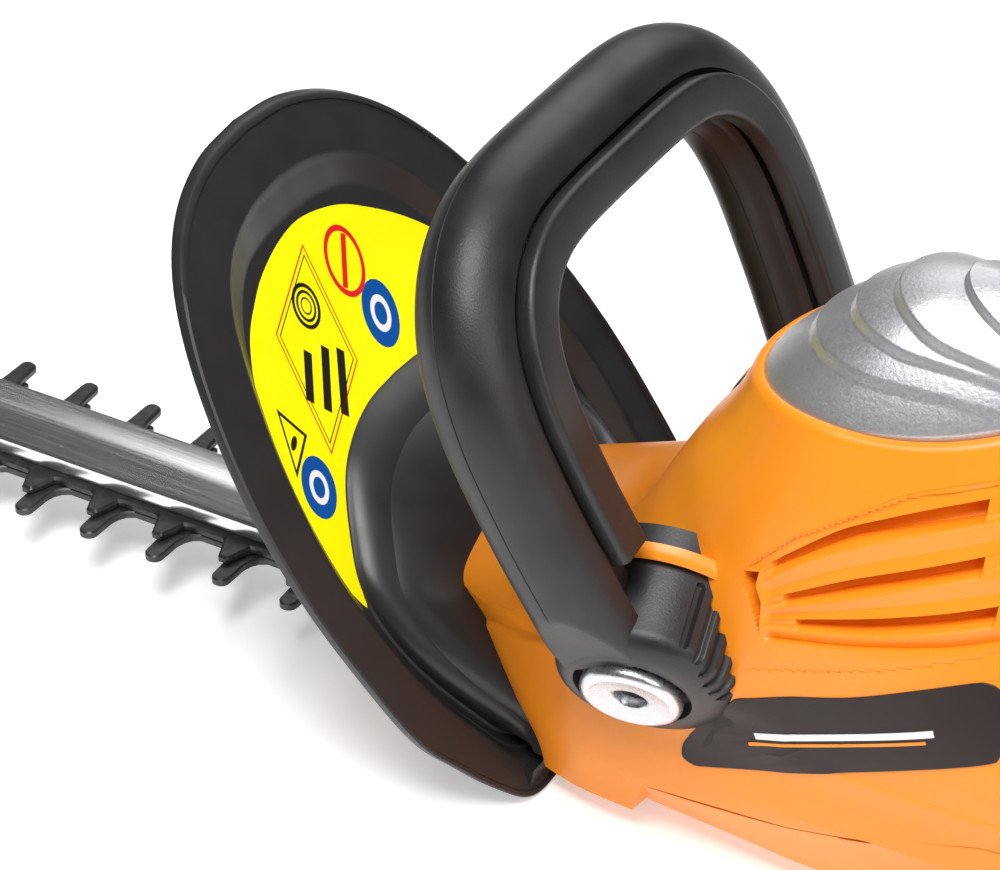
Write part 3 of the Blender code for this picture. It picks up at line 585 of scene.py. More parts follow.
def make_base_tray():
    """The open tray under the body, whose flanks slope in below the joint."""
    loops = []
    for x in TRAY_STATIONS:
        top = float(base_joint_z(np.array(x))) - 0.5
        wide = -on_side(float(x), top + 3.0)[0][1] - 0.9
        foot = wide - (8.5 if x < 50.0 else 14.0)
        low = TRAY_FLOOR_Z + 4.0 * smoothstep(40.0, 58.0, x)
        half = [(2.0, low + TRAY_WALL), (foot - 5.0, low + TRAY_WALL), (wide - 3.0, top + 0.2), (wide, top),
                (wide - 0.4, top - 0.8), (foot, low + 1.0), (foot - 1.2, low), (2.0, low)]
        outline = [(-y, z) for y, z in half] + [(y, z) for y, z in reversed(half)]
        loops.append([(float(x), y, z) for y, z in outline])
    piece = skin("base_tray", loops, "orange", crease=24.0)
    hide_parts("base_cover")


# Badge outline on the side view, (x, z), clockwise from its front corner
BADGE_LINE = ((-45.5, 45.6), (-44.5, 50), (-38.7, 59.7), (-27, 75.5), (-24.1, 78.2), (-19, 80.2), (-6.7, 85.1),
              (12.4, 91.7), (34, 101), (50, 107.4), (55, 108.6), (59, 107.6), (61.5, 104), (63.5, 90),
              (63.2, 86.5), (60, 84), (37.7, 74.3), (-1.8, 56.8), (-36, 43.4), (-41.5, 42.2), (-44.8, 43.2))
# The badge's rings from its edge to its middle: share of the outline and lift off the body's skin
BADGE_RINGS = ((1.0, -0.6), (1.0, 0.35), (0.994, 0.5), (0.9, 0.5), (0.7, 0.5), (0.5, 0.5), (0.25, 0.5),
               (0.02, 0.5))


def make_badges():
    """Plain dark plates with rounded corners, with two thin generic stripes on each."""
    outline = spline(BADGE_LINE, 220, closed=True)
    for side, name in SIDES:
        points = []
        for scale, lift in BADGE_RINGS:
            for x, z in shrunk(outline, scale):
                place, normal = on_side(x, z)
                points.append(place + normal * lift)
        faces = grid_faces(len(BADGE_RINGS), len(outline))
        last = (len(BADGE_RINGS) - 1) * len(outline)
        faces.append(tuple(range(last, last + len(outline))))
        faces.append(tuple(range(len(outline))))
        piece = new_piece("badge_plate_" + name, mirrored(points, side), faces, "badge",
                          20.0)
        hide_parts("badge_" + name)
        ink_line("badge_stripe_%s_1" % name, side, ((-18, 65.0), (42, 89.0)), 1.1, "ink_white")
        ink_line("badge_stripe_%s_2" % name, side, ((-20, 61.0), (40, 85.2)), 0.5, "orange")


def ink_line(name, side, ends, half, ink):
    """A thin straight bar printed on the badge."""
    start, end = np.asarray(ends, dtype=float)
    along = end - start
    across = np.array([-along[1], along[0]]) / np.linalg.norm(along) * half
    sunk, proud = 0.4, 0.85
    loops = []
    for t in np.linspace(0.0, 1.0, 40):
        loop = []
        for offset, lift in ((-1.0, sunk), (-1.0, proud), (1.0, proud), (1.0, sunk)):
            place, normal = on_side(*(start + along * t + across * offset))
            loop.append(place + normal * lift)
        loops.append(loop)
    skin(name, mirrored(loops, side), ink)


# Centre line of the rear handle, (x, z)
REAR_LINE = ((100, 150), (118, 162), (140, 168), (165, 171), (205, 167), (238, 152), (259, 124), (269.5, 88),
             (262, 50), (240, 27), (205, 18.2), (165, 18.2), (135, 24), (112, 36), (96, 52))


HANDLE_HALF_WIDTH = 17.0
HANDLE_HALF_DEPTH = 17.4
SEAM_GROOVE = 0.35


def make_rear_handle():
    """A rounded square bar swept along the loop, flared where it leaves the body."""
    line = spline(REAR_LINE, 150)
    along = np.gradient(line, axis=0)
    along /= np.linalg.norm(along, axis=1, keepdims=True)
    angle = np.linspace(0.0, TAU, 64, endpoint=False)
    wave, rise = np.cos(angle), np.sin(angle)
    loops = []
    for spot, (run, climb), share in zip(line, along, np.linspace(0.0, 1.0, len(line))):
        flare = 1.0 + 0.45 * (math.exp(-(share / 0.05) ** 2) + math.exp(-((1.0 - share) / 0.05) ** 2))
        across = HANDLE_HALF_WIDTH * flare * np.sign(wave) * np.abs(wave) ** 0.86
        depth = HANDLE_HALF_DEPTH * flare * np.sign(rise) * np.abs(rise) ** 0.86
        depth = depth - np.sign(depth) * SEAM_GROOVE * np.exp(-(across / SEAM_GROOVE) ** 2)
        loops.append(np.stack([spot[0] + climb * depth, across, spot[1] - run * depth], axis=1))
    skin("rear_handle_loop", loops, "orange")


make_housing()
make_vent_fields()
make_base_tray()
make_badges()
make_rear_handle()


# ---- silver cap

RIM_CENTRE_X = -6.0
RIM_Z = 170.6


def rim_curve(grow, lift, count=360):
    """The cap's rim, an egg shape that climbs to the rear."""
    angle = np.linspace(0.0, TAU, count, endpoint=False)
    c = np.cos(angle)
    x = (np.where(c < 0.0, 43.2, 69.2) + grow) * c
    z = RIM_Z + 0.12 * x + 0.0018 * np.clip(x, 0.0, None) ** 2 + lift
    return np.stack([RIM_CENTRE_X + x, (41.6 + grow) * np.sin(angle), z], axis=1)


# Tiers of the cap: centre x, reach forward, reach back, half width and step height
TIERS = (
    (2.0, 37.0, 84.0, 34.0, 2.6),
    (9.0, 31.0, 74.0, 28.0, 3.2),
    (20.0, 28.0, 62.0, 25.0, 3.4),
    (40.0, 26.0, 45.0, 17.0, 3.2),
)
CAP_RINGS = 220
CAP_CENTRE = np.array([18.0, 0.0, 178.0])
DOME_HEIGHT = 27.5


def make_cap():
    """The silver dome over the motor, with a stack of oval steps that fade toward the rear."""
    loops = [rim_curve(-1.0, -4.0), rim_curve(0.0, -3.6), rim_curve(0.0, -0.4)]
    outer = rim_curve(0.0, 0.0)
    for t in np.linspace(0.0, 1.0, CAP_RINGS)[:-1]:
        x, y, z = (outer + (CAP_CENTRE - outer) * t).T
        z = z + DOME_HEIGHT * (1.0 - (1.0 - t) ** 2.0) ** 0.85
        for cx, ahead, back, width, step in TIERS:
            distance = np.hypot((x - cx) / np.where(x < cx, ahead, back), y / width)
            fade = 0.35 + 0.65 * smoothstep(-0.9, 0.8, np.clip((cx - x) / ahead, -1.0, 1.0))
            z = z + step * fade * (1.0 - smoothstep(0.955, 1.015, distance))
        loops.append(np.stack([x, y, z], axis=1))
    loops = np.asarray(loops)
    rows, columns = loops.shape[:2]
    points = np.vstack([loops.reshape(-1, 3), loops[-1].mean(axis=0)[None]])
    faces = grid_faces(rows, columns)
    last = (rows - 1) * columns
    faces += [(last + j, last + (j + 1) % columns, len(points) - 1) for j in range(columns)]
    piece = new_piece("cap_shell", points, faces, "silver", 50.0)
    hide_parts("dome_cover")


make_cap()


# ---- guard

# The shield's plane leans back, so its X falls with height. Its outlines are half outlines, as (y, z).
GUARD_X = -102.0
GUARD_SLOPE = 0.81
GUARD_CENTRE = (0.0, 45.0)
GUARD_STEPS = 360
OUTER_LINE = ((0, 0), (45, 0), (64, 1), (75, 9), (85, 21), (93, 33), (97, 55), (98.5, 78), (96, 102),
              (89, 125), (78, 147), (64, 164), (46, 176), (24, 183), (0, 185))
STEP_LINE = ((0, 5), (40, 5), (58, 10), (68, 24), (76, 40), (80, 58), (81, 78), (77, 100), (69, 122),
             (56, 145), (40, 159), (20, 166), (0, 168))
FLOOR_LINE = ((0, 7), (38, 7), (54, 12), (62, 24), (69, 40), (73, 58), (74, 76), (70, 98), (62, 118),
              (50, 137), (34, 149), (18, 153), (0, 154))
NECK_LINE = ((0, 8), (37, 8), (52, 13), (60, 24), (68, 40), (71.5, 54), (70, 68), (62, 79), (48, 92),
             (34, 99), (18, 103), (0, 104))


def lip_line():
    """Half of the sleeve's rear edge, just inside the body's front opening, as (y, z)."""
    inset = 3.0
    half = [(0.0, 10.5), (36.0, 10.5)]
    for z in (13.0, 20.0, 30.0, 40.0, 50.0, 56.0, 60.0):
        place = on_side(LIP_X - LIP_LEAN * z + inset, z)[0]
        half.append((-place[1] - 1.0, z))
    crest_x = LIP_X - LIP_LEAN * 66.0 + inset
    for y in (36.0, 26.0, 14.0, 0.0):
        place = BODY_TREE.ray_cast(Vector((crest_x, -y, FAR)), Vector((0.0, 0.0, -1.0)))[0]
        half.append((y, place.z - 1.0))
    return half


def around(line, grow=0.0):
    """A closed outline in (y, z), resampled by angle about the guard's centre."""
    half = spline(line, 200)
    full = np.vstack([half, (half * (-1.0, 1.0))[::-1][1:-1]])
    offset = full - GUARD_CENTRE
    angle = np.arctan2(offset[:, 1], offset[:, 0])
    radius = np.linalg.norm(offset, axis=1)
    order = np.argsort(angle)
    angle, radius = angle[order], radius[order]
    wanted = np.linspace(-math.pi, math.pi, GUARD_STEPS, endpoint=False)
    reach = np.interp(wanted, angle, radius, period=TAU) + grow
    height = GUARD_CENTRE[1] + reach * np.sin(wanted)
    return np.stack([GUARD_CENTRE[0] + reach * np.cos(wanted), np.maximum(height, 0.1)], axis=1)


def on_guard(outline, depth):
    """Put an outline on the guard's leaning plane, moved back along X by a depth."""
    x = GUARD_X - GUARD_SLOPE * outline[:, 1] + depth
    return np.stack([x, outline[:, 0], outline[:, 1]], axis=1)


def on_lip(outline, back):
    """Put an outline on the body's leaning front edge."""
    x = LIP_X - LIP_LEAN * outline[:, 1] - back
    return np.stack([x, outline[:, 0], outline[:, 1]], axis=1)


def between(a, b, count):
    """Loops that run straight from one loop to another, without either end."""
    return [a + (b - a) * (i / count) for i in range(1, count)]


def domed(neck, lip, count):
    """Loops from the neck back to the lip that keep the neck's girth at first and then close in."""
    loops = []
    for i in range(1, count):
        t = 0.5 * math.pi * i / count
        run = math.sin(t)
        close = 1.0 - math.cos(t)
        loop = neck + (lip - neck) * close
        depth_neck = neck[:, 0] + GUARD_SLOPE * neck[:, 2]
        depth_lip = lip[:, 0] + GUARD_SLOPE * lip[:, 2]
        loop[:, 0] = depth_neck + (depth_lip - depth_neck) * run - GUARD_SLOPE * loop[:, 2]
        loops.append(loop)
    return loops


SLEEVE_WALL = 2.5
LIP_OVERLAP = 6.0
# The shoe under the shield: place, low edge and high edge
SHOE_STATIONS = ((-138.0, 0.4, 5.0), (-137.0, 0.0, 6.0), (-108.0, 0.0, 8.0), (-104.0, 0.0, 8.0))


def make_guard():
    """The shield and its sleeve in one shell, out over the front side and back behind it."""
    def loop(line, grow, depth):
        return on_guard(around(line, grow), depth)

    lip_edge = lip_line()
    lip = on_lip(around(lip_edge), 0.3)
    lining_lip = on_lip(around(lip_edge, -SLEEVE_WALL), -LIP_OVERLAP)
    lining_neck = loop(NECK_LINE, -3.0, -9.5)
    rim = ((-0.2, -3.2), (0.0, -2.4), (0.0, 0.6), (-0.7, 1.3), (-2.0, 1.3), (-2.5, 0.3))
    loops = [loop(OUTER_LINE, grow, depth) for grow, depth in rim]
    loops += between(loops[-1], loop(STEP_LINE, 0.0, 0.6), 8)
    loops += [loop(STEP_LINE, 0.6, 0.6), loop(STEP_LINE, -0.4, 0.3)]
    loops += between(loop(STEP_LINE, -0.8, -0.2), loop(FLOOR_LINE, 0.0, -7.0), 8)
    loops += [loop(FLOOR_LINE, 0.4, -6.7), loop(FLOOR_LINE, -0.6, -7.0)]
    loops += between(loop(FLOOR_LINE, -0.8, -7.0), loop(NECK_LINE, 0.0, -7.0), 5)
    loops += [loop(NECK_LINE, 0.4, -7.0), loop(NECK_LINE, -0.5, -6.4)]
    loops += domed(loop(NECK_LINE, -0.7, -6.0), lip, 36)
    loops += [lip, on_lip(around(lip_edge), -LIP_OVERLAP), lining_lip]
    loops += domed(lining_neck, lining_lip, 14)[::-1]
    loops += [lining_neck, loop(FLOOR_LINE, -3.0, -9.8), loop(STEP_LINE, -3.4, -3.4)]
    piece = skin("guard_shield", loops, "smooth", ring=True, crease=28.0)
    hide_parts("guard")
    shoe = []
    for x, low, high in SHOE_STATIONS:
        half = ((60.0, high), (63.0, low + 0.8), (62.0, low))
        shoe.append([(x, -y, z) for y, z in half] + [(x, y, z) for y, z in reversed(half)])
    skin("guard_shoe", shoe, "smooth")


make_guard()


# ---- label

# The label's outline on the guard's plane, as (y, z)
LABEL_LINE = ((-72.5, 63.5), (-75.2, 72), (-76.6, 84), (-75, 98), (-69, 111.5), (-60, 124), (-47.9, 135.9),
              (-36, 142.6), (-25.1, 147), (-10, 150.6), (4.6, 151.4), (22, 147.8), (34, 142), (46.2, 134),
              (56, 125), (60, 117), (52, 108), (38, 103), (22, 101.5), (7.7, 101), (-9.8, 101.8), (-22, 99.8),
              (-33, 95.8), (-43, 91), (-51.5, 86), (-59.5, 80), (-66, 73.5), (-70.5, 67))
LABEL_DEPTH = -6.7
LABEL_THICKNESS = 0.25
INK_THICKNESS = 0.08


def label_patch(name, outline, ink, hole=None, thickness=INK_THICKNESS):
    """A thin flat print on the label, with an optional hole that leaves only an outline."""
    top = LABEL_DEPTH + thickness
    outline = np.asarray(outline, dtype=float)
    loops = [on_guard(outline, LABEL_DEPTH), on_guard(outline, top)]
    if hole is not None:
        loops += [on_guard(hole, top), on_guard(hole, LABEL_DEPTH)]
    skin(name, loops, ink, ring=hole is not None, crease=20.0)


def oval_line(centre, half_wide, half_high, turn, count=48):
    """An ellipse on the label, turned by an angle in degrees."""
    angle = np.linspace(0.0, TAU, count, endpoint=False)
    a, b = half_wide * np.cos(angle), half_high * np.sin(angle)
    c, s = math.cos(math.radians(turn)), math.sin(math.radians(turn))
    return np.stack([centre[0] + a * c - b * s, centre[1] + a * s + b * c], axis=1)


def make_label():
    """The yellow film, with a few plain printed shapes and no lettering."""
    outline = spline(LABEL_LINE, 200, closed=True)
    count = len(outline)
    points = np.vstack([on_guard(outline, LABEL_DEPTH - LABEL_THICKNESS), on_guard(outline, LABEL_DEPTH)])
    faces = [(j, (j + 1) % count, count + (j + 1) % count, count + j) for j in range(count)]
    for j in range(count // 2 - 1):
        strip = (j, j + 1, count - 2 - j, count - 1 - j)
        faces.append(strip)
        faces.append(tuple(count + k for k in strip))
    piece = new_piece("label_film", points, faces, "yellow", 20.0)
    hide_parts("guard_label")

    diamond = ((-2.5, 146), (-36.8, 132.8), (-46.6, 99.4), (-11.6, 113))
    label_patch("label_frame_red", diamond, "ink_red", shrunk(diamond, 0.972))
    label_patch("label_frame_black", shrunk(diamond, 0.90), "ink_black", shrunk(diamond, 0.88))
    for i, share in enumerate((0.16, 0.29, 0.42)):
        ring = oval_line((-17.5, 133.0), 17.0 * share, 13.0 * share, 35.0)
        label_patch("label_ripple_%d" % i, ring, "ink_black", shrunk(ring, 0.82))
    bars = (((-31, 104.6), (-15.6, 118.4)), ((-36.5, 108.5), (-21, 121.6)), ((-41, 113.5), (-29, 123.8)))
    for i, (start, end) in enumerate(np.asarray(bars, dtype=float)):
        along = end - start
        across = np.array([-along[1], along[0]]) / np.linalg.norm(along) * 1.5
        corners = (start - across, end - across, end + across, start + across)
        label_patch("label_bar_%d" % i, corners, "ink_black")
    ring = oval_line((9.9, 135.2), 11.2, 8.0, 40.0)
    label_patch("label_ring", ring, "ink_red", shrunk(ring, 0.83))
    slash = ((2.2, 130.2), (3.8, 129.0), (17.4, 140.4), (15.9, 141.6))
    label_patch("label_ring_bar", slash, "ink_red")
    discs = (((10.4, 118.2), 10.6, 7.4), ((-59.8, 95.4), 9.4, 6.6))
    for i, (centre, half_wide, half_high) in enumerate(discs):
        disc = oval_line(centre, half_wide, half_high, 40.0)
        label_patch("label_disc_%d" % i, disc, "ink_blue", thickness=0.06)
        label_patch("label_disc_ring_%d" % i, shrunk(disc, 0.55), "ink_white", shrunk(disc, 0.34), 0.1)
    triangle = ((-55.8, 118.2), (-51.0, 107.6), (-65.6, 101.2))
    label_patch("label_triangle", triangle, "ink_black", shrunk(triangle, 0.80))
    label_patch("label_triangle_dot", oval_line((-58.0, 108.4), 2.6, 1.0, 25.0, 24), "ink_black")


make_label()


# ---- front handle

# The handle lies in a plane that leans forward from upright, with this normal toward the rear
LEAN = math.radians(25.8)
NORMAL = np.array([math.cos(LEAN), 0.0, math.sin(LEAN)])
TUBE_RADIUS = 17.2
SEAM_DEPTH = 0.45
HANDLE_POINTS = ((-64.3, -78.2, 88.2), (-69.7, -82, 99.4), (-77.8, -84.9, 116.3), (-89.6, -87.8, 140.6),
                 (-102.2, -88.7, 166.8), (-112.2, -84.1, 187.4), (-119.4, -73, 202.4), (-123.7, -57.5, 211.3),
                 (-125.6, -37.3, 215.2), (-125.9, 0, 215.9))
FOOT_INNER = np.array([-62.0, -56.0, 86.0])
FOOT_OUTER = np.array([-57.0, -80.0, 74.0])


def handle_line(count, start=0):
    """The tube's centre line from one foot over to the other."""
    half = [np.array(p, dtype=float) for p in HANDLE_POINTS[start:]]
    full = half + [p * (1.0, -1.0, 1.0) for p in reversed(half[:-1])]
    return spline(full, count)


def sweep_handle(section, count=220, start=0):
    """Sweep a section of (inward, rearward) points along the handle."""
    line = handle_line(count, start)
    along = np.gradient(line, axis=0)
    along -= np.outer(along @ NORMAL, NORMAL)
    along /= np.linalg.norm(along, axis=1, keepdims=True)
    inward = np.cross(along, NORMAL)
    section = np.asarray(section, dtype=float)
    return np.asarray([line[i] + np.outer(section[:, 0], inward[i]) + np.outer(section[:, 1], NORMAL)
                       for i in range(count)])


def tube_section():
    """The handle's round section, with a channel for the switch bar and fine parting grooves."""
    turns = (*range(-268, -180, 4), *range(-178, -173), *range(-172, -3, 4), *range(-2, 3),
             *range(5, 26, 4))
    section = []
    for degrees in turns:
        radius = TUBE_RADIUS - (SEAM_DEPTH if degrees in (-176, 0) else 0.0)
        section.append((radius * math.cos(math.radians(degrees)), radius * math.sin(math.radians(degrees))))
    channel = [(15.2, 8.2), (14.0, 9.0), (13.0, 10.6), (2.4, 10.6), (1.4, 11.4), (0.9, 13.0), (0.6, 16.4)]
    return section + channel + [(0.1, TUBE_RADIUS)]


def rounded_box(low, high, radius, steps=5):
    """A rectangle with round corners as (a, b) points."""
    points = []
    corners = ((high[0], high[1], 0), (low[0], high[1], 90), (low[0], low[1], 180), (high[0], low[1], 270))
    for a, b, turn in corners:
        ca = a - radius if turn in (0, 270) else a + radius
        cb = b - radius if turn in (0, 90) else b + radius
        for i in range(steps + 1):
            angle = math.radians(turn + 90.0 * i / steps)
            points.append((ca + radius * math.cos(angle), cb + radius * math.sin(angle)))
    return points


def make_handle():
    """The tube, the switch bar in its channel, and the two feet."""
    along, length = foot_frame()[::3]
    loops = sweep_handle(tube_section())
    for side, name in SIDES:
        base, axis = mirrored(FOOT_INNER, side), mirrored(along, side)
        past_face = np.maximum((loops - base) @ axis - (length - 0.3), 0.0)
        loops = loops - past_face[..., None] * axis
    tube = skin("handle_tube", loops, "black")
    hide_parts("handle_front_shell", "handle_rear_shell")
    bar_loops = sweep_handle(rounded_box((2.2, 14.6), (16.8, 22.4), 2.2), 200, start=2)
    bar = skin("switch_lever", bar_loops, "black", body="front_bar")
    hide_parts("switch_bar")
    for side, name in SIDES:
        make_foot(side, name)


def foot_frame():
    """The barrel's unit vectors out along it, rearward and up across it, and its length."""
    along = FOOT_OUTER - FOOT_INNER
    length = float(np.linalg.norm(along))
    along = along / length
    rear = np.array([1.0, 0.0, 0.0]) - along * along[0]
    rear /= np.linalg.norm(rear)
    return along, rear, np.cross(along, rear), length


def foot_radius(angle):
    """The barrel's reach round its axis: longer to the rear, where the slots are."""
    return FOOT_GIRTH + FOOT_SWELL * (1.0 + np.cos(angle))


def barrel_loop(reach, angle, height):
    """A loop round the barrel's axis at a height along it."""
    along, rear, up = foot_frame()[:3]
    return (FOOT_INNER + along * height + np.outer(np.cos(angle) * reach, rear)
            + np.outer(np.sin(angle) * reach, up))


FOOT_GIRTH = 27.2
FOOT_SWELL = 3.135
FOOT_ROOT = -18.0
FOOT_ROUND = 8.0
FACE_SHARE = 0.24
SLOT_SINK = 2.0
SLOT_REACH = 31.0
# Slots on the foot: turn about the barrel in degrees, low end and high end along it
FOOT_SLOTS = ((51, -1, 19.3), (40, 1.3, 21.6), (31, 4.8, 23.5), (21.5, 7.3, 24.5), (12, 10, 24.8),
              (3, 14, 24))
# Profiles of (radius, height past the foot's face) of the disc, and (share, height) of the boss behind it
DISC_PROFILE = ((4.0, -4.6), (16.4, -4.6), (16.9, -4.0), (17.1, 1.0), (16.9, 2.0), (16.2, 3.0), (15.2, 3.6),
                (14.2, 3.8), (13.4, 3.7), (12.9, 3.3), (12.5, 3.1), (7.6, 3.0), (6.2, 2.6), (5.6, 1.8),
                (5.4, -2.6), (4.0, -2.8))
BOSS_PROFILE = ((0.8, -9.0), (1.0, -9.0), (1.0, -5.6), (1.03, -4.4), (1.06, -4.0), (1.09, -4.6),
                (1.12, -6.5), (1.13, -9.0))
FOOT_STEPS = 540
BOSS_STEPS = 135


def slot_sink(angle, height):
    """How far the foot's slots cut in at a height, round the barrel."""
    sink = np.zeros(len(angle))
    for degrees, low, high in FOOT_SLOTS:
        across = (np.degrees(angle) - degrees + 180.0) % 360.0 - 180.0
        away = np.hypot(np.radians(across) * SLOT_REACH, height - np.clip(height, low, high))
        sink = np.maximum(sink, SLOT_SINK * (1.0 - smoothstep(0.9, 1.6, away)))
    return sink


def make_foot(side, name):
    """A slotted barrel at the tube's end, the silver disc on its face and the orange boss behind it."""
    along, length = foot_frame()[::3]
    neck = length - FOOT_ROUND
    profile = [(0.30, FOOT_ROOT), (1.0, FOOT_ROOT)]
    profile += [(1.0, height) for height in np.linspace(FOOT_ROOT + 1.0, neck, 120)]
    for degrees in range(6, 91, 6):
        a = math.radians(degrees)
        profile.append((1.0 - FACE_SHARE * (1.0 - math.cos(a)), neck + FOOT_ROUND * math.sin(a)))
    profile += [(0.735, length), (0.722, length - 0.2), (0.712, length - 1.4), (0.70, length - 5.0),
                (0.3, length - 5.0)]
    angle = np.linspace(0.0, TAU, FOOT_STEPS, endpoint=False)
    loops = []
    for share, height in profile:
        blend = np.clip((share - 0.72) / 0.28, 0.0, 1.0)
        reach = share * (foot_radius(angle) * blend + FOOT_GIRTH * (1.0 - blend))
        if share > 0.9:
            reach = reach - slot_sink(angle, height)
        loops.append(barrel_loop(reach, angle, height))
    foot = skin("handle_foot_cup_" + name, mirrored(loops, side), "black",
                ring=True, crease=42.0)
    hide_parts("handle_foot_" + name)
    disc = turned([(radius, length + past) for radius, past in DISC_PROFILE], mirrored(FOOT_INNER, side),
                  mirrored(along, side), 120)
    cap = skin("handle_disc_" + name, disc, "disc", ring=True, crease=50.0)
    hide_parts("handle_cap_" + name)
    angle = np.linspace(0.0, TAU, BOSS_STEPS, endpoint=False)
    girth = foot_radius(angle) + 0.6
    rings = [barrel_loop(girth * share, angle, height) for share, height in BOSS_PROFILE]
    skin("foot_boss_" + name, mirrored(rings, side), "orange", ring=True,
         crease=40.0)


make_handle()


# ---- blades and rail

PITCH = 28.0
TEETH = 18
FIRST_X = -636.0
FAR_STEP = 8.2
REST_SHIFT = 1.15
BLADE_EDGE = 19.0
BLADE_THICKNESS = 2.7


def finger(x, side):
    """A long rounded guard finger with a flared root."""
    tip = [(3.4 * math.cos(a), 34.9 + 3.4 * math.sin(a)) for a in np.linspace(0.0, math.pi, 9)]
    right = [(9.0, 19.0), (6.4, 20.6), (4.6, 23.2), (3.7, 26.5)]
    left = [(-3.6, 26.5), (-3.9, 23.2), (-4.8, 20.4), (-6.2, 19.0)]
    shape = left[::-1] + tip[::-1] + right[::-1]
    return [(x + dx, side * reach) for dx, reach in shape]


def tooth(x, side):
    """A short cutting tooth with a narrow tip."""
    shape = [(-7.0, 19.0), (-5.6, 19.8), (-2.3, 28.6), (-1.6, 29.2), (1.6, 29.2), (2.3, 28.6), (5.6, 19.8),
             (7.6, 19.0)]
    return [(x + dx, side * reach) for dx, reach in shape]


def make_blade(name, node, body, low, near_fingers, shift, bevel):
    """A toothed blade with fingers on one side, that ends in a fork round the crank's cam."""
    near_shape, far_shape = (finger, tooth) if near_fingers else (tooth, finger)
    near_x = FIRST_X if near_fingers else FIRST_X - 3.0
    far_x = FIRST_X + FAR_STEP + (2.6 if near_fingers else 0.0)
    near, far = [], []
    for i in range(TEETH):
        near += near_shape(near_x + PITCH * i, -1.0)
        far += far_shape(far_x + PITCH * i, 1.0)
    half_fork = ((-84.0, BLADE_EDGE), (-80.0, 26.0), (-16.0, 26.0), (-16.0, BLADE_EDGE), (-73.0, BLADE_EDGE))
    fork = [(x + shift, -y) for x, y in half_fork]
    fork += [(x, -y) for x, y in reversed(fork)]
    outline = [(-668.0, -5.0), (-656.0, -BLADE_EDGE)] + near + [(-110.0, -BLADE_EDGE)] + fork
    outline += [(-110.0, BLADE_EDGE)] + list(reversed(far)) + [(-656.0, BLADE_EDGE), (-668.0, 5.0)]
    work = bmesh.new()
    face = work.faces.new([work.verts.new((x, y, low)) for x, y in outline])
    made = bmesh.ops.extrude_face_region(work, geom=[face])
    top = {item for item in made["geom"] if isinstance(item, bmesh.types.BMVert)}
    for vertex in top:
        vertex.co.z += BLADE_THICKNESS
    edges = [edge for edge in work.edges if top.issuperset(edge.verts)]
    bmesh.ops.bevel(work, geom=edges, offset=bevel, segments=1, affect="EDGES", clamp_overlap=True)
    work.verts.ensure_lookup_table()
    points = [tuple(vertex.co) for vertex in work.verts]
    faces = [tuple(vertex.index for vertex in face.verts) for face in work.faces]
    work.free()
    piece = new_piece(name, points, faces, "blade", 20.0, body)
    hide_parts(node)


def make_rail():
    """The bright channel over the blades."""
    profile = [(-16.0, 24.9), (-16.0, 28.6), (-15.6, 30.0), (-14.6, 31.0), (-5.0, 33.5), (-3.4, 33.9),
               (-1.0, 34.0), (1.0, 34.0), (14.6, 31.4), (15.6, 30.6), (16.0, 29.4), (16.0, 24.9),
               (14.0, 24.9), (14.0, 29.0), (2.0, 32.0), (-2.0, 32.0), (-14.0, 29.0), (-14.0, 24.9)]
    loops = [[(x, y, z) for y, z in profile] for x in (-652.0, -651.4, -112.0)]
    piece = skin("rail_channel", loops, "rail", crease=24.0)
    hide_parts("blade_rail")


make_blade("upper_blade_edge", "upper_blade", "upper_cutter", 21.8, False, -REST_SHIFT, 0.9)
make_blade("lower_blade_edge", "lower_blade", "lower_cutter", 18.8, True, REST_SHIFT, 0.5)
make_rail()


# ---- frame nodes that keep their shape

NODE_FINISH = {
    "black": ("trigger", "rear_switch", "front_switch", "fan", "motor_bracket", "cord_clamp",
              "handle_bolt_left", "handle_bolt_right"),
    "rubber": ("cable_gland",),
    "steel": ("gear_axle", "drive_gear", "pinion_gear", "cam_upper", "cam_lower", "motor_stator",
              "bearing_lower", "bearing_upper", "trigger_pin"),
    "alloy": ("gearcase", "gear_cover"),
    "copper": ("armature", "brush_left", "brush_right"),
}


def finish_nodes():
    """Give the frame's own nodes their finishes."""
    finishes = {name: MAT[key] for key, names in NODE_FINISH.items() for name in names}
    for node in bpy.data.objects:
        if node.name.startswith(("blade_bolt", "blade_nut", "housing_screw", "guard_screw")):
            finishes[node.name] = MAT["steel"]
        for slot in node.material_slots:
            slot.material = finishes.get(node.name, slot.material)


finish_nodes()


# ---- studio

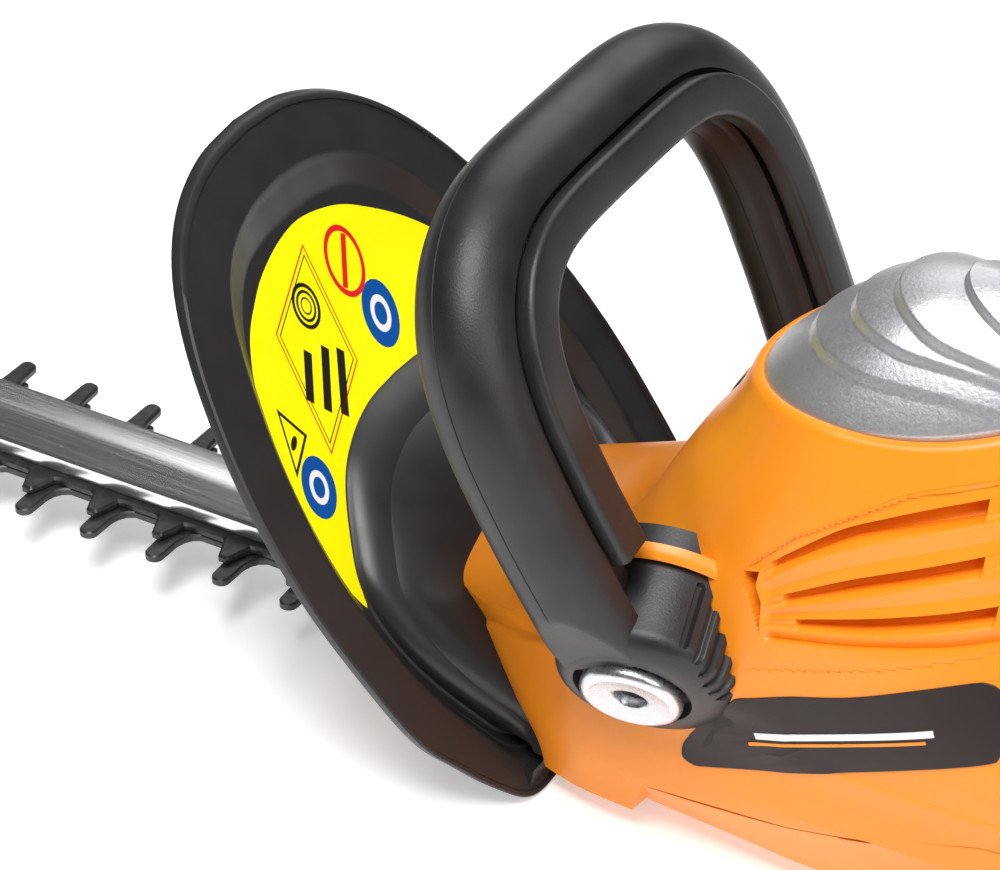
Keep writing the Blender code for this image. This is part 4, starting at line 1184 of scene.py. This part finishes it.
# Each lamp: name, place and size in metres, and power in watts
LAMPS = (
    ("key", (0.15, -0.55, 1.6), 0.9, 30.0),
    ("fill", (1.4, -0.5, 1.1), 1.0, 9.0),
    ("back", (-0.3, 1.2, 1.3), 1.4, 12.0),
)
LAMP_TARGET = Vector((0.05, 0.0, 0.08))
FLOOR_HALF = 6.0
FLOOR_GLOW = 0.45
CAMERA_PLACE = (436.77, -1018.93, 916.14)
CAMERA_TURN = 30.0
CAMERA_DROP = 35.0
CAMERA_LENS = 153.3


def make_studio():
    """A pale floor, a sky that is darker toward the ground, and three soft lamps."""
    sky = bpy.data.worlds.new("studio")
    sky.use_nodes = True
    tree = sky.node_tree
    place = tree_node(tree, "ShaderNodeTexCoord")
    split = tree_node(tree, "ShaderNodeSeparateXYZ")
    ramp = tree_node(tree, "ShaderNodeMapRange", From_Min=-0.05, From_Max=0.8, To_Min=0.12, To_Max=0.85)
    tree.links.new(place.outputs["Generated"], split.inputs["Vector"])
    tree.links.new(split.outputs["Z"], ramp.inputs["Value"])
    tree.links.new(ramp.outputs["Result"], tree.nodes["Background"].inputs["Strength"])
    bpy.context.scene.world = sky
    corners = [(x * FLOOR_HALF, y * FLOOR_HALF, 0.0) for x, y in ((-1, -1), (1, -1), (1, 1), (-1, 1))]
    floor_mesh = bpy.data.meshes.new("floor")
    floor_mesh.from_pydata(corners, [], [(0, 1, 2, 3)])
    paint = Recipe("floor_paint", (0.93, 0.93, 0.93), 0.9, 0.0, 0.1)
    paint.shader.inputs["Emission Color"].default_value = (1.0, 1.0, 1.0, 1.0)
    paint.shader.inputs["Emission Strength"].default_value = FLOOR_GLOW
    floor_mesh.materials.append(paint.material)
    floor = add_object("floor", floor_mesh)
    floor.location.z = -0.0005
    for name, place, size, power in LAMPS:
        light = bpy.data.lights.new(name, "AREA")
        light.size = size
        light.energy = power
        lamp = add_object(name, light)
        lamp.location = place
        lamp.rotation_euler = (LAMP_TARGET - Vector(place)).to_track_quat("-Z", "Y").to_euler()


def make_camera():
    """The camera, at the angle from which the object is best known."""
    camera_data = bpy.data.cameras.new("camera")
    camera_data.sensor_width = 36.0
    camera_data.lens = CAMERA_LENS
    camera_data.clip_end = 50.0
    camera = add_object("camera", camera_data)
    camera.location = world(CAMERA_PLACE)
    camera.rotation_euler = (math.radians(90.0 - CAMERA_DROP), 0.0, math.radians(CAMERA_TURN))
    bpy.context.scene.camera = camera


make_studio()
make_camera()
bpy.context.scene.view_settings.view_transform = "Standard"
